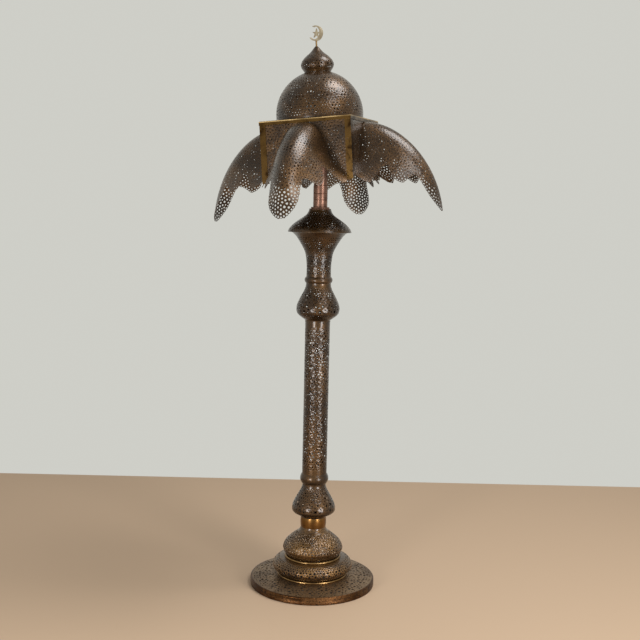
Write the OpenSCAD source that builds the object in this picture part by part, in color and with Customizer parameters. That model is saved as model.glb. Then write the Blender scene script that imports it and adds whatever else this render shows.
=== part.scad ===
// Lantern floor lamp: a stack of spun brass shells clamped on a threaded tube,
// with a square domed lantern and four leaf hoods that sit on a ball seat on top.
// Heights in the head are given upright; lean() then tips the head about the ball seat.

/* [Sheet and fits] */
// Wall of the spun and pressed brass sheet
sheet = 1; // [0.8:0.1:1.4]
// Clearance between pieces that seat in or on each other
fit = 0.3; // [0.2:0.05:0.4]
// Running clearance on the radius of a screw or rivet in its hole
hole_fit = 0.05; // [0.03:0.01:0.1]

/* [Base] */
// Outer radius of the base disc
base_r = 209; // [195:1:225]
// Height of the base disc above the floor
base_h = 25.5; // [24.5:0.5:30]
// Rise of the top of the base disc from its edge to the bead ring
base_rise = 9; // [5:0.5:12]
// Thickness of the felt pad under the base
felt_t = 2; // [1.8:0.1:3]
// Thickness of the steel bottom plate
plate_t = 3; // [2:0.5:3.5]
// Radius of the cast ballast weight
ballast_r = 178; // [150:1:180]
// Thickness of the cast ballast weight
ballast_t = 15; // [13:0.5:16]
// Radius of the circle of bottom plate screws
screw_circle_r = 120; // [80:1:140]
// Shank radius of a bottom plate screw
screw_r = 2.5; // [2:0.5:3]
// Bore radius of the cord outlet bush
cord_r = 4; // [3:0.5:4.5]
// Length of the cord outlet bush
bush_len = 15.5; // [13:0.5:18]
// Centre line radius of the bead ring on the base disc
base_bead_r = 116; // [115.5:0.5:121]
// Section radius of the bead ring on the base disc
base_bead_s = 4; // [3:0.5:4.5]

/* [Step ring and bell] */
// Foot radius of the step ring
step_foot_r = 110; // [104:0.5:110.5]
// Largest radius of the step ring
step_r = 134.5; // [130:0.5:138]
// Height of the step ring
step_h = 58.5; // [54:0.5:62]
// Centre line radius of the bead ring under the bell
step_bead_r = 91; // [90.5:0.5:95]
// Section radius of the bead ring under the bell
step_bead_s = 4; // [3:0.5:4.5]
// Foot radius of the bell
bell_foot_r = 85; // [80:0.5:85.5]
// Largest radius of the bell
bell_r = 100.3; // [94:0.1:106]
// Height of the bell
bell_h = 104; // [98:1:115]
// Radius of the neck of the bell and of its collar
neck_r = 42; // [40:0.5:44]
// Height of the neck collar
neck_h = 34; // [28:1:38]

/* [Pears and pole] */
// Largest radius of the lower pear
lower_pear_r = 73.1; // [62:0.1:82]
// Height of the lower pear
lower_pear_h = 116; // [105:1:135]
// Share of that height at which the lower pear is widest
lower_pear_belly = 0.24; // [0.22:0.01:0.34]
// Radius of the top of the lower pear
lower_pear_top_r = 39.4; // [38:0.1:42]
// Height of the ring at the foot of the pole
foot_ring_h = 34; // [24:1:40]
// Largest radius of the ring at the foot of the pole
foot_ring_r = 47.6; // [44:0.1:52]
// Outer radius of the pole tube
pole_r = 41.3; // [39.5:0.1:42.5]
// Length of the pole tube
pole_h = 512; // [400:1:600]
// Thickness of the centring discs in the pole
disc_t = 3; // [2:0.5:4]
// Largest radius of the upper pear
upper_pear_r = 71.7; // [62:0.1:80]
// Height of the upper pear
upper_pear_h = 126; // [105:1:145]
// Share of that height at which the upper pear is widest
upper_pear_belly = 0.31; // [0.22:0.01:0.34]
// Height of the ring above the upper pear
upper_ring_h = 21; // [16:1:28]
// Largest radius of the ring above the upper pear
upper_ring_r = 46.3; // [44:0.1:50]

/* [Trumpet and cap] */
// Radius of the straight neck of the trumpet
trumpet_neck_r = 40.2; // [39:0.1:42]
// Radius of the lip of the trumpet
trumpet_lip_r = 93; // [86:0.5:98]
// Height of the trumpet
trumpet_h = 146; // [125:1:165]
// Radius of the rim of the cap
cap_r = 104.3; // [100:0.1:110]
// Height of the cap
cap_h = 74; // [64:1:84]
// Radius of the top of the cap
cap_top_r = 36; // [34:0.5:38]
// Radius of the collar at the foot of the stem
collar_r = 31; // [27:0.5:33]
// Height of the collar at the foot of the stem
collar_h = 8; // [6:0.5:12]

/* [Stem and clamping tube] */
// Outer radius of the copper stem sleeves
stem_r = 23.3; // [22.5:0.1:25]
// Outer radius of the long upper stem sleeve
stem_upper_r = 22.4; // [22:0.1:23.3]
// Wall of the copper stem sleeves
stem_wall = 1.6; // [1.2:0.1:2]
// Length of the lowest stem sleeve
sleeve_low_h = 23; // [18:1:30]
// Length of the second stem sleeve
sleeve_mid_h = 21; // [16:1:28]
// Length of the third stem sleeve
sleeve_ring_h = 26; // [20:1:34]
// Length of the long upper stem sleeve
sleeve_top_h = 96; // [80:1:120]
// Outer radius of the threaded clamping tube
rod_r = 5; // [4.5:0.1:5.5]
// Bore radius of the threaded clamping tube
rod_bore_r = 3.5; // [3:0.1:3.8]
// Width across flats of a tube nut
nut_af = 17; // [15:0.5:19]
// Thickness of a tube nut
nut_t = 6; // [5:0.5:7]
// Radius of the ball seat under the lantern
ball_r = 26; // [25.5:0.1:28]

/* [Lantern box] */
// Lean of the lantern from the pole, in degrees
head_lean = 4; // [0:0.5:5]
// Direction of the lean, in degrees from +X towards +Y
lean_dir = 199; // [150:1:250]
// Outer width of the lantern box over its corner strips
box_w = 301.6; // [290:0.2:320]
// Height of the lantern box
box_h = 194; // [188:1:210]
// Distance the box reaches below the centre of the ball seat
box_drop = 99; // [85:1:110]
// Width of one flange of a corner strip
strip_w = 20; // [15:0.5:22]
// Thickness of the corner and top strips
strip_t = 1.2; // [1:0.1:1.5]
// Height of the top strip
top_strip_h = 12; // [9:0.5:16]
// Width of the inward flange of the top strip
top_flange_w = 14; // [10:0.5:16]
// Radius of the hub of the spider
hub_r = 20; // [18:0.5:21]
// Height of the hub of the spider above the ball centre
hub_top = 36; // [34:0.5:40]
// Width of a spider arm
arm_w = 12; // [8:0.5:14]
// Thickness of a spider arm
arm_t = 5; // [3:0.5:6]
// Height of the lug at the end of a spider arm
lug_h = 18; // [16:1:24]
// Radius of a lug rivet
rivet_r = 2; // [1.5:0.1:2.5]

/* [Leaf hoods] */
// Reach of a leaf from the face of the box to its tip
leaf_reach = 243; // [200:1:280]
// Drop of a leaf from its crown to its tip
leaf_drop = 295; // [240:1:330]
// Distance of the crown of a leaf below the top of the box
crown_gap = 12.3; // [11:0.1:20]
// Half width of a leaf at its cusps
cusp_w = 129; // [115:1:140]
// Depth of a leaf at its cusps
cusp_d = 150; // [130:1:165]
// Half width of a leaf at its side lobes
lobe_w = 90; // [75:1:100]
// Depth of a leaf at its side lobes
lobe_d = 82; // [65:1:95]
// Half width of the long point of a leaf
point_w = 56; // [45:1:65]
// Depth of the long point of a leaf
point_d = 28; // [20:1:40]
// Depth of a leaf where it leaves the box
root_d = 168; // [155:1:172]
// Share of the pierced field of a leaf that its openings take
leaf_mesh = 0.6; // [0.4:0.05:0.7]

/* [Dome and finial] */
// Margin between the dome and the edge of the roof
dome_margin = 11; // [6:0.5:24]
// Height of the straight foot of the dome
dome_foot_h = 20; // [10:1:30]
// Width of the inward foot flange of the dome
dome_flange_w = 12; // [8:0.5:16]
// Share of a row round the dome that its openings take
dome_mesh = 0.6; // [0.4:0.05:0.7]
// Radius of the foot of the onion finial
onion_foot_r = 42; // [36:0.5:46]
// Largest radius of the onion finial
onion_r = 53.5; // [48:0.5:60]
// Height of the onion finial
onion_h = 83; // [70:1:95]
// Radius of the finial rod
finial_rod_r = 2.7; // [2.2:0.1:3]
// Length of finial rod that shows above the onion
finial_neck_h = 17; // [10:1:25]
// Outer radius of the crescent
crescent_r = 24; // [20:0.5:28]
// Greatest width of the crescent band
crescent_w = 7.2; // [6:0.1:8.5]
// Depth of the crescent band from front to back
crescent_t = 12; // [8:0.5:14]
// Turn of the crescent from the front of the box, in degrees
crescent_turn = -15; // [-45:1:45]
// Outer radius of the star
star_r = 15.5; // [13:0.1:16.4]
// Depth of the star from front to back
star_t = 5; // [3:0.5:8]

/* [Lampholder and bulb] */
// Outer radius of the lampholder shell
holder_r = 19.5; // [19:0.1:22]
// Height of the lampholder cap
holder_cap_h = 16; // [14:0.5:20]
// Height of the lampholder shell
holder_h = 38; // [36:0.5:44]
// Radius of the screw cap of the bulb
bulb_cap_r = 13; // [12.8:0.05:13.2]
// Length of the screw cap of the bulb
bulb_cap_h = 26; // [24:0.5:27]
// Radius of the glass of the bulb
bulb_r = 30; // [22:0.5:34]
// Length of the glass of the bulb
bulb_h = 76; // [68:1:84]
// Radius of the switch key stem
key_r = 2; // [1.5:0.1:2.5]

/* [Hidden] */
$fn = 96;

// Colours as the photograph shows them
dark_brass = [0.28, 0.19, 0.13];
warm_brass = [0.42, 0.27, 0.16];
bright_brass = [0.72, 0.55, 0.28];
copper = [0.58, 0.36, 0.30];
steel = [0.55, 0.56, 0.58];
iron = [0.22, 0.22, 0.23];

// Levels of the stand, from the floor up
plate_z = felt_t;
ballast_z = plate_z + plate_t;
base_top = base_h + base_rise;
step_z = base_top;
bell_z = step_z + step_h;
neck_z = bell_z + bell_h;
lower_pear_z = neck_z + neck_h;
foot_ring_z = lower_pear_z + lower_pear_h;
pole_z = foot_ring_z + foot_ring_h;
pole_top_z = pole_z + pole_h;
disc_lip_t = disc_t * 0.6;
upper_pear_z = pole_top_z + disc_lip_t;
upper_ring_z = upper_pear_z + upper_pear_h;
trumpet_z = upper_ring_z + upper_ring_h;
cap_z = trumpet_z + trumpet_h;
collar_z = cap_z + cap_h;
stem_z = collar_z + collar_h;
sleeve_mid_z = stem_z + sleeve_low_h;
sleeve_ring_z = sleeve_mid_z + sleeve_mid_h;
sleeve_top_z = sleeve_ring_z + sleeve_ring_h;
seat_z = sleeve_top_z + sleeve_top_h;
ball_cut = 14;
pivot_z = seat_z + ball_cut;

// Clamping tube: nuts sit in the ballast, on the stem collar and on the hub
washer_r = 12;
washer_t = 1.5;
nut_well_r = 20;
nut_well_h = 9;
washer_low_z = ballast_z + nut_well_h - washer_t;
rod_foot_z = felt_t + 1;
coupling_h = 30;
coupling_r = 9;
nipple_leg = 50;
joint_z = pivot_z - nipple_leg;
rod_hole_r = rod_r + fit;
bend_swell = 0.7;
ring_wall = 9;
boss_r = 30;
screw_head_r = 1.8 * screw_r;
screw_head_t = plate_t * 0.55;
screw_bite = 9;

// Bush of the cord outlet, at the back of the base
bush_r = cord_r + 2;
bush_flange_r = cord_r + 4.5;
bush_z = ballast_z + bush_flange_r + 0.4;
bush_flange_t = 2;
bush_out_y = base_r + fit + bush_flange_t;

// Levels of the upright head
box_z = pivot_z - box_drop;
box_top_z = box_z + box_h;
post_half = box_w / 2;
frame_half = post_half + strip_t;
dome_r = frame_half - dome_margin;
panel_out = post_half - strip_t;
panel_in = panel_out - sheet;
panel_half = panel_in - 1;
flange_z = box_top_z - strip_t;
dome_z = box_top_z + sheet;
dome_centre_z = dome_z + dome_foot_h;
dome_top_z = dome_centre_z + dome_r;
dome_rows = [3, 20.5, 38, 55.5];
dome_row_span = 11;
dome_row_count = 22;
dome_cut = 5;
onion_z = dome_centre_z + sqrt(dome_r * dome_r - onion_foot_r * onion_foot_r) + fit;
onion_top_z = onion_z + onion_h;
crescent_z = onion_top_z + finial_neck_h + crescent_r;
arm_z = pivot_z + hub_top - arm_t;
lug_z = arm_z + arm_t - lug_h;
lug_rivet_z = lug_z + (lug_h - arm_t) / 2;
lug_t = 2;
lug_w = 20;
rivet_head = 0.75 * rivet_r;
lug_rivet_x = panel_half - 10;

// Levels of the lampholder and bulb above the ball centre
hub_washer_z = pivot_z + hub_top + fit;
hub_nut_z = hub_washer_z + washer_t;
holder_z = hub_nut_z + nut_t + 2;
shell_z = holder_z + holder_cap_h;
nipple_top_z = holder_z + 6;
core_z = shell_z + 1;
core_h = 12;
bulb_cap_z = core_z + core_h + 3;
bulb_glass_z = bulb_cap_z + bulb_cap_h;
key_z = shell_z + 8;
key_len = 26;

// Leaf hoods: shape of the folded surface
leaf_root = panel_out + fit;
root_w = post_half - strip_w - 1.2;
ridge_power = 1.11;
shoulder_angle = 20;
cusp_angle = 46;
lobe_angle = 62;
neck_angle = 75;
sweep_angle = 14;
leaf_rows = 30;
leaf_half_cols = 9;
leaf_open_rows = 28;
tip_w = 0.34 * cusp_w;
tip_d = 0.067 * cusp_d;
tip_edge = 0.1;
point_angle = 69;

module lean() {
    translate([0, 0, pivot_z]) rotate([0, 0, lean_dir]) rotate([0, head_lean, 0])
        rotate([0, 0, -lean_dir]) translate([0, 0, -pivot_z]) children();
}

// ---- Spun shells: an outer curve through a few points, and the same curve one sheet in

function catmull(a, b, c, d, t) =
    0.5 * (2 * b + (c - a) * t + (2 * a - 5 * b + 4 * c - d) * t * t
        + (3 * b - a - 3 * c + d) * t * t * t);

function smooth(keys, steps = 4) = let (last = len(keys) - 1) concat(
    [for (i = [0:last - 1]) for (j = [0:steps - 1])
        catmull(keys[max(i - 1, 0)], keys[i], keys[i + 1], keys[min(i + 2, last)], j / steps)],
    [keys[last]]);

function heading(line, i) =
    let (d = line[min(i + 1, len(line) - 1)] - line[max(i - 1, 0)]) d / norm(d);

function one_sheet_in(line, t) = let (last = len(line) - 1)
    [for (i = [0:last]) let (d = heading(line, i), p = line[i] + t * [-d[1], d[0]])
        (i == 0 || i == last) ? [line[i][0] - 1.2 * t, line[i][1]] : [p[0], min(p[1], line[last][1])]];

function back_to_front(list) = [for (i = [len(list) - 1:-1:0]) list[i]];

module spun(keys, t = sheet) {
    outside = smooth(keys);
    rotate_extrude() polygon(concat(outside, back_to_front(one_sheet_in(outside, t))));
}

module washer_disc(r_out, r_in, z, t) {
    translate([0, 0, z]) difference() {
        cylinder(r = r_out, h = t);
        translate([0, 0, -1]) cylinder(r = r_in, h = t + 2);
    }
}

// A half-round bead with a flat foot
module bead(r, s, z) {
    rotate_extrude() translate([r, z]) intersection() {
        translate([0, s * 0.8]) circle(r = s, $fn = 32);
        translate([-s, 0]) square([2 * s, 2 * s]);
    }
}

// A turned ring with a bulging waist
module turned_ring(r_end, r_belly, z, h, r_in) {
    waist = [for (i = [0:12]) [r_end + (r_belly - r_end) * pow(sin(15 * i), 0.8), z + h * i / 12]];
    rotate_extrude() polygon(concat([[r_in, z]], waist, [[r_in, z + h]]));
}

module tube_nut(z) {
    translate([0, 0, z]) difference() {
        cylinder(r = nut_af / 2 / cos(30), h = nut_t, $fn = 6);
        translate([0, 0, -1]) cylinder(r = rod_r + hole_fit, h = nut_t + 2);
    }
}

// Pear: narrow foot, low belly and a long drawn-in shoulder
function pear(foot_r, belly_r, top_r, z, h, belly) = concat(
    [for (k = [[0, 0], [0.11, 0.03], [0.29, 0.34], [0.5, 0.7], [0.71, 0.92], [1, 1]])
        [foot_r + (belly_r - foot_r) * k[1], z + h * belly * k[0]]],
    [for (k = [[0.16, 0.95], [0.362, 0.71], [0.572, 0.4], [0.783, 0.1], [0.913, 0.01], [1, 0]])
        [top_r + (belly_r - top_r) * k[1], z + h * (belly + (1 - belly) * k[0])]]);

// ---- Base

module felt_pad() {
    color([0.12, 0.13, 0.12]) cylinder(r = base_r - 12, h = felt_t);
}

module at_plate_screws(z) {
    for (a = [45:90:315]) rotate([0, 0, a]) translate([screw_circle_r, 0, z]) children();
}

module bottom_plate() {
    color(steel) translate([0, 0, plate_z]) difference() {
        cylinder(r = base_r - sheet - 1, h = plate_t);
        translate([0, 0, -1]) cylinder(r = nut_well_r, h = plate_t + 2);
        at_plate_screws(-1) cylinder(r = screw_r + hole_fit, h = plate_t + 2);
        at_plate_screws(-1) cylinder(r = screw_head_r + hole_fit, h = screw_head_t + hole_fit + 1);
    }
}

module plate_screws() {
    color(steel) at_plate_screws(plate_z) union() {
        cylinder(r = screw_head_r, h = screw_head_t);
        cylinder(r = screw_r, h = plate_t + screw_bite);
    }
}

module ballast_weight() {
    hub_h = base_top - sheet - ballast_z;
    color(iron) translate([0, 0, ballast_z]) difference() {
        union() {
            cylinder(r = ballast_r, h = ballast_t);
            cylinder(r = boss_r, h = hub_h);
        }
        translate([0, 0, -1]) cylinder(r = nut_well_r, h = nut_well_h + 1);
        translate([0, 0, -1]) cylinder(r = rod_hole_r, h = hub_h + 2);
        at_plate_screws(-1) cylinder(r = screw_r + hole_fit, h = screw_bite + 1.5);
    }
}

module cord_bush() {
    color(iron) translate([0, bush_out_y, bush_z]) rotate([90, 0, 0]) difference() {
        union() {
            cylinder(r = bush_flange_r, h = bush_flange_t);
            cylinder(r = bush_r, h = bush_len);
        }
        translate([0, 0, -1]) cylinder(r = cord_r, h = bush_len + 2);
    }
}

module bush_nut() {
    color(steel) translate([0, base_r - sheet - 1.2, bush_z]) rotate([90, 0, 0]) difference() {
        cylinder(r = bush_r + 2, h = 3);
        translate([0, 0, -1]) cylinder(r = bush_r + hole_fit, h = 5);
    }
}

module base_disc() {
    edge_r = 5;
    flat_r = base_bead_r + base_bead_s + 1;
    curl = [for (a = [0:15:90]) [base_r - edge_r + edge_r * cos(a), base_h - edge_r + edge_r * sin(a)]];
    inside = [for (a = [90:-15:0])
        [base_r - edge_r + (edge_r - sheet) * cos(a), base_h - edge_r + (edge_r - sheet) * sin(a)]];
    color(warm_brass) difference() {
        rotate_extrude() polygon(concat([[base_r, felt_t / 2]], curl, [[flat_r, base_top],
            [rod_hole_r, base_top], [rod_hole_r, base_top - sheet], [flat_r, base_top - sheet]],
            inside, [[base_r - sheet, felt_t / 2]]));
        translate([0, base_r + 5, bush_z]) rotate([90, 0, 0]) cylinder(r = bush_r + hole_fit, h = 20);
    }
}

module base_bead() {
    color(bright_brass) bead(base_bead_r, base_bead_s, base_top);
}

module step_ring() {
    top_r = step_bead_r + step_bead_s + 2;
    keys = [[step_foot_r, 0], [step_foot_r + 0.8, 0.06], [step_foot_r + 3.5, 0.13],
        [step_r - 11, 0.24], [step_r - 2.5, 0.39], [step_r, 0.54], [step_r - 2.5, 0.7],
        [step_r - 11, 0.86], [step_r - 22, 0.955], [step_r - 32, 0.995], [top_r, 1]];
    outside = smooth([for (k = keys) [k[0], step_z + step_h * k[1]]]);
    inside = one_sheet_in(outside, sheet);
    flat = [for (i = [len(inside) - 2:-1:0]) inside[i]];
    color(dark_brass) rotate_extrude() polygon(concat(outside, [[boss_r, bell_z],
        [boss_r, bell_z - sheet], [top_r, bell_z - sheet]], flat));
}

module step_bead() {
    color(bright_brass) bead(step_bead_r, step_bead_s, bell_z);
}

// ---- Bell, pears and pole

module bell() {
    shoulder = [[0, 0], [0.05, 0.06], [0.11, 0.38], [0.19, 0.78], [0.27, 0.96], [0.34, 1]];
    throat = [[0.51, 0.88], [0.68, 0.58], [0.84, 0.2], [0.93, 0.05], [1, 0]];
    color(dark_brass) spun(concat(
        [for (k = shoulder) [bell_foot_r + (bell_r - bell_foot_r) * k[1], bell_z + bell_h * k[0]]],
        [for (k = throat) [neck_r + (bell_r - neck_r) * k[1], bell_z + bell_h * k[0]]]));
}

module neck_collar() {
    color(bright_brass) turned_ring(neck_r, neck_r + 1.5, neck_z, neck_h, neck_r - ring_wall);
}

module lower_pear() {
    color(dark_brass) spun(pear(neck_r, lower_pear_r, lower_pear_top_r, lower_pear_z, lower_pear_h,
        lower_pear_belly));
}

module pole_foot_ring() {
    color(dark_brass) turned_ring(pole_r, foot_ring_r, foot_ring_z, foot_ring_h, pole_r - ring_wall);
}

module pole_disc_lower() {
    color(steel) washer_disc(pole_r - sheet - fit, rod_hole_r, pole_z, disc_t);
}

module pole_tube() {
    color(dark_brass) washer_disc(pole_r, pole_r - sheet, pole_z, pole_h);
}

module pole_disc_upper() {
    color(dark_brass) union() {
        washer_disc(pole_r - sheet - fit, rod_hole_r, pole_top_z - disc_t, disc_t + 0.1);
        washer_disc(pole_r + 1, rod_hole_r, pole_top_z, disc_lip_t);
    }
}

module upper_pear() {
    color(dark_brass) spun(pear(pole_r + 0.7, upper_pear_r, pole_r, upper_pear_z, upper_pear_h,
        upper_pear_belly));
}

module upper_ring() {
    color(dark_brass) turned_ring(pole_r, upper_ring_r, upper_ring_z, upper_ring_h, pole_r - ring_wall);
}

// ---- Trumpet, cap and stem

module trumpet() {
    flare = [[0, 0.01], [0.16, 0], [0.28, 0.01], [0.42, 0.05], [0.555, 0.13], [0.69, 0.31],
        [0.82, 0.53], [0.89, 0.66], [0.945, 0.8], [0.985, 0.93], [1, 1]];
    color(dark_brass) spun([for (k = flare)
        [trumpet_neck_r + (trumpet_lip_r - trumpet_neck_r) * k[1], trumpet_z + trumpet_h * k[0]]]);
}

module cap() {
    lip_in = trumpet_lip_r - 6;
    slope = [[0, 1], [0.03, 0.995], [0.13, 0.955], [0.265, 0.84], [0.4, 0.68], [0.54, 0.475],
        [0.67, 0.265], [0.79, 0.11], [0.91, 0.03], [1, 0]];
    outside = smooth([for (k = slope) [cap_top_r + (cap_r - cap_top_r) * k[1], cap_z + cap_h * k[0]]]);
    inside = one_sheet_in(outside, sheet);
    last = len(inside) - 1;
    color(dark_brass) rotate_extrude() polygon(concat(outside,
        [[cap_top_r - 6, collar_z], [cap_top_r - 6, collar_z - sheet]],
        [for (i = [last - 1:-1:1]) inside[i]], [[lip_in, cap_z + sheet], [lip_in, cap_z]]));
}

module stem_collar() {
    lip = 0.3 * collar_h;
    color(copper) rotate_extrude() polygon([[rod_hole_r, collar_z], [cap_top_r - 0.5, collar_z],
        [cap_top_r, collar_z + lip / 2], [cap_top_r - 1, collar_z + lip], [collar_r, collar_z + lip],
        [collar_r - 1, stem_z], [rod_hole_r, stem_z]]);
}

// A copper sleeve with its ends broken, so that a groove shows at each joint
module sleeve(r, z, h) {
    groove = 0.8;
    color(copper) rotate_extrude() polygon([[r - stem_wall, z], [r - groove, z], [r, z + groove],
        [r, z + h - groove], [r - groove, z + h], [r - stem_wall, z + h]]);
}

module stem_sleeve_low() { sleeve(stem_r, stem_z, sleeve_low_h); }
module stem_sleeve_mid() { sleeve(stem_r, sleeve_mid_z, sleeve_mid_h); }
module stem_sleeve_ring() { sleeve(stem_r, sleeve_ring_z, sleeve_ring_h); }
module stem_sleeve_top() { sleeve(stem_upper_r, sleeve_top_z, sleeve_top_h); }

module tie_rod() {
    color(steel) washer_disc(rod_r, rod_bore_r, rod_foot_z, joint_z - rod_foot_z);
}

module rod_nuts() {
    color(bright_brass) {
        tube_nut(washer_low_z - nut_t);
        tube_nut(stem_z + washer_t);
        lean() tube_nut(hub_nut_z);
    }
}

module rod_washers() {
    color(bright_brass) {
        washer_disc(washer_r, rod_hole_r, washer_low_z, washer_t);
        washer_disc(washer_r, rod_hole_r, stem_z, washer_t);
        lean() washer_disc(washer_r, rod_hole_r, hub_washer_z, washer_t);
    }
}

module rod_coupling() {
    color(bright_brass) translate([0, 0, joint_z - coupling_h / 2]) difference() {
        cylinder(r = coupling_r, h = coupling_h, $fn = 6);
        translate([0, 0, -1]) cylinder(r = rod_r + hole_fit, h = coupling_h + 2);
    }
}

module ball_seat() {
    spigot_r = stem_upper_r - stem_wall - fit;
    seat_hole_r = rod_r + 1.5;
    color(copper) difference() {
        union() {
            intersection() {
                translate([0, 0, pivot_z]) sphere(r = ball_r);
                translate([0, 0, seat_z]) cylinder(r = ball_r + 1, h = 2 * ball_r);
            }
            translate([0, 0, seat_z - 8]) cylinder(r = spigot_r, h = 8.1);
        }
        translate([0, 0, seat_z - 10]) cylinder(r = seat_hole_r, h = ball_cut + 10);
        translate([0, 0, pivot_z]) sphere(r = seat_hole_r + bend_swell);
        lean() translate([0, 0, pivot_z]) cylinder(r = seat_hole_r, h = ball_r + 2);
    }
}

module nipple() {
    up_h = nipple_top_z - pivot_z;
    color(steel) difference() {
        union() {
            translate([0, 0, joint_z]) cylinder(r = rod_r, h = pivot_z - joint_z);
            translate([0, 0, pivot_z]) sphere(r = rod_r + bend_swell);
            lean() translate([0, 0, pivot_z]) cylinder(r = rod_r, h = up_h);
        }
        translate([0, 0, joint_z - 1]) cylinder(r = rod_bore_r, h = pivot_z - joint_z + 1);
        translate([0, 0, pivot_z]) sphere(r = rod_bore_r + bend_swell);
        lean() translate([0, 0, pivot_z]) cylinder(r = rod_bore_r, h = up_h + 1);
    }
}

// ---- Lampholder and bulb

module holder_cap() {
    color(bright_brass) lean() translate([0, 0, holder_z]) difference() {
        rotate_extrude() polygon([[0, 0], [11, 0], [14, 3], [holder_r, holder_cap_h - 4],
            [holder_r, holder_cap_h], [holder_r - sheet, holder_cap_h],
            [holder_r - sheet, holder_cap_h - 4], [12.5, 3 + sheet], [0, 3 + sheet]]);
        translate([0, 0, -1]) cylinder(r = rod_r + hole_fit, h = 8);
    }
}

module holder_shell() {
    color(bright_brass) lean() translate([0, 0, shell_z]) difference() {
        cylinder(r = holder_r, h = holder_h);
        translate([0, 0, -1]) cylinder(r = holder_r - sheet, h = holder_h + 2);
        translate([0, 0, key_z - shell_z]) rotate([0, 90, 0]) cylinder(r = key_r + fit, h = holder_r + 5);
    }
}

module holder_core() {
    color([0.9, 0.88, 0.84]) lean() translate([0, 0, core_z]) difference() {
        cylinder(r = holder_r - sheet - fit, h = core_h);
        translate([0, 0, key_z - core_z]) rotate([0, 90, 0]) cylinder(r = key_r + fit, h = holder_r + 5);
    }
}

module screw_shell() {
    wall = 0.6;
    color(copper) lean() washer_disc(bulb_cap_r + fit + wall, bulb_cap_r + fit, core_z + core_h,
        shell_z + holder_h - 2 - core_z - core_h);
}

module centre_contact() {
    color(copper) lean() translate([0, 0, core_z + core_h]) union() {
        cylinder(r = 5, h = 1);
        cylinder(r = 3, h = bulb_cap_z - core_z - core_h - fit);
    }
}

module switch_key() {
    color(iron) lean() translate([4, 0, key_z]) rotate([0, 90, 0]) union() {
        cylinder(r = key_r, h = key_len);
        translate([-6, -1.5, key_len - 8]) cube([12, 3, 9]);
    }
}

module bulb_cap() {
    color(steel) lean() translate([0, 0, bulb_cap_z]) rotate_extrude()
        polygon([[0, 0], [4, 0], [4.5, 2], [bulb_cap_r - 1, 6], [bulb_cap_r, 7],
            [bulb_cap_r, bulb_cap_h], [0, bulb_cap_h]]);
}

module bulb_glass() {
    neck = bulb_cap_r - 0.6;
    keys = [[neck, 0], [neck + 1.5, 0.14], [bulb_r * 0.72, 0.34], [bulb_r * 0.96, 0.52],
        [bulb_r, 0.63], [bulb_r * 0.93, 0.8], [bulb_r * 0.7, 0.92], [bulb_r * 0.38, 0.985], [0, 1]];
    outside = smooth([for (k = keys) [k[0], k[1] * bulb_h]], 3);
    inside = [for (p = outside) [p[0] * (bulb_r - 1) / bulb_r, 1 + p[1] * (bulb_h - 2) / bulb_h]];
    color([0.95, 0.93, 0.86, 0.4]) lean() translate([0, 0, bulb_glass_z]) rotate_extrude()
        polygon(concat([[0, 0]], outside, back_to_front(inside), [[0, 1]]));
}

module bulb_filament() {
    color([0.95, 0.85, 0.5]) lean() translate([0, 0, bulb_glass_z + 1]) union() {
        cylinder(r = 4, h = bulb_h * 0.45);
        translate([0, 0, bulb_h * 0.45 - 0.1]) cylinder(r = 8, h = 2.5);
    }
}

// ---- Lantern box

module spider() {
    reach = (panel_half - 0.8) * sqrt(2) - arm_w / 2;
    color(warm_brass) lean() difference() {
        union() {
            translate([0, 0, pivot_z]) cylinder(r = hub_r, h = hub_top);
            for (a = [0:90:270]) rotate([0, 0, a]) {
                rotate([0, 0, -45]) translate([0, -arm_w / 2, arm_z]) cube([reach, arm_w, arm_t]);
                translate([panel_half - lug_w, fit - panel_in, lug_z]) cube([lug_w, lug_t, lug_h]);
            }
        }
        translate([0, 0, pivot_z]) sphere(r = ball_r + fit);
        translate([0, 0, pivot_z]) cylinder(r = rod_hole_r, h = hub_top + 1);
        for (a = [0:90:270]) rotate([0, 0, a])
            translate([lug_rivet_x, 0, lug_rivet_z]) rotate([90, 0, 0])
                cylinder(r = rivet_r + hole_fit, h = post_half + 5);
    }
}

module spider_rivets() {
    head_y = panel_in - fit - lug_t;
    color(warm_brass) lean() for (a = [0:90:270]) rotate([0, 0, a])
        translate([lug_rivet_x, 0, lug_rivet_z]) rotate([90, 0, 0]) {
            translate([0, 0, head_y - rivet_head]) cylinder(r = rivet_r * 1.7, h = rivet_head);
            translate([0, 0, head_y - 0.1]) cylinder(r = rivet_r, h = post_half - head_y + 0.1);
        }
}

module corner_strips() {
    h = flange_z - box_z;
    p = post_half;
    q = post_half - strip_w;
    t = strip_t;
    color(bright_brass) lean() for (a = [0:90:270]) rotate([0, 0, a]) difference() {
        translate([0, 0, box_z]) linear_extrude(h)
            polygon([[q, -p], [p, -p], [p, -q], [p - t, -q], [p - t, t - p], [q, t - p]]);
        translate([lug_rivet_x, 0, lug_rivet_z]) rotate([90, 0, 0])
            cylinder(r = rivet_r + hole_fit, h = p + 5);
    }
}

module top_frame() {
    color(bright_brass) lean() difference() {
        translate([-frame_half, -frame_half, box_top_z - top_strip_h])
            cube([2 * frame_half, 2 * frame_half, top_strip_h]);
        translate([-post_half, -post_half, box_top_z - top_strip_h - 1])
            cube([box_w, box_w, top_strip_h + 1 - strip_t]);
        translate([top_flange_w - frame_half, top_flange_w - frame_half, box_top_z - top_strip_h - 1])
            cube([2 * (frame_half - top_flange_w), 2 * (frame_half - top_flange_w), top_strip_h + 2]);
    }
}

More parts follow.
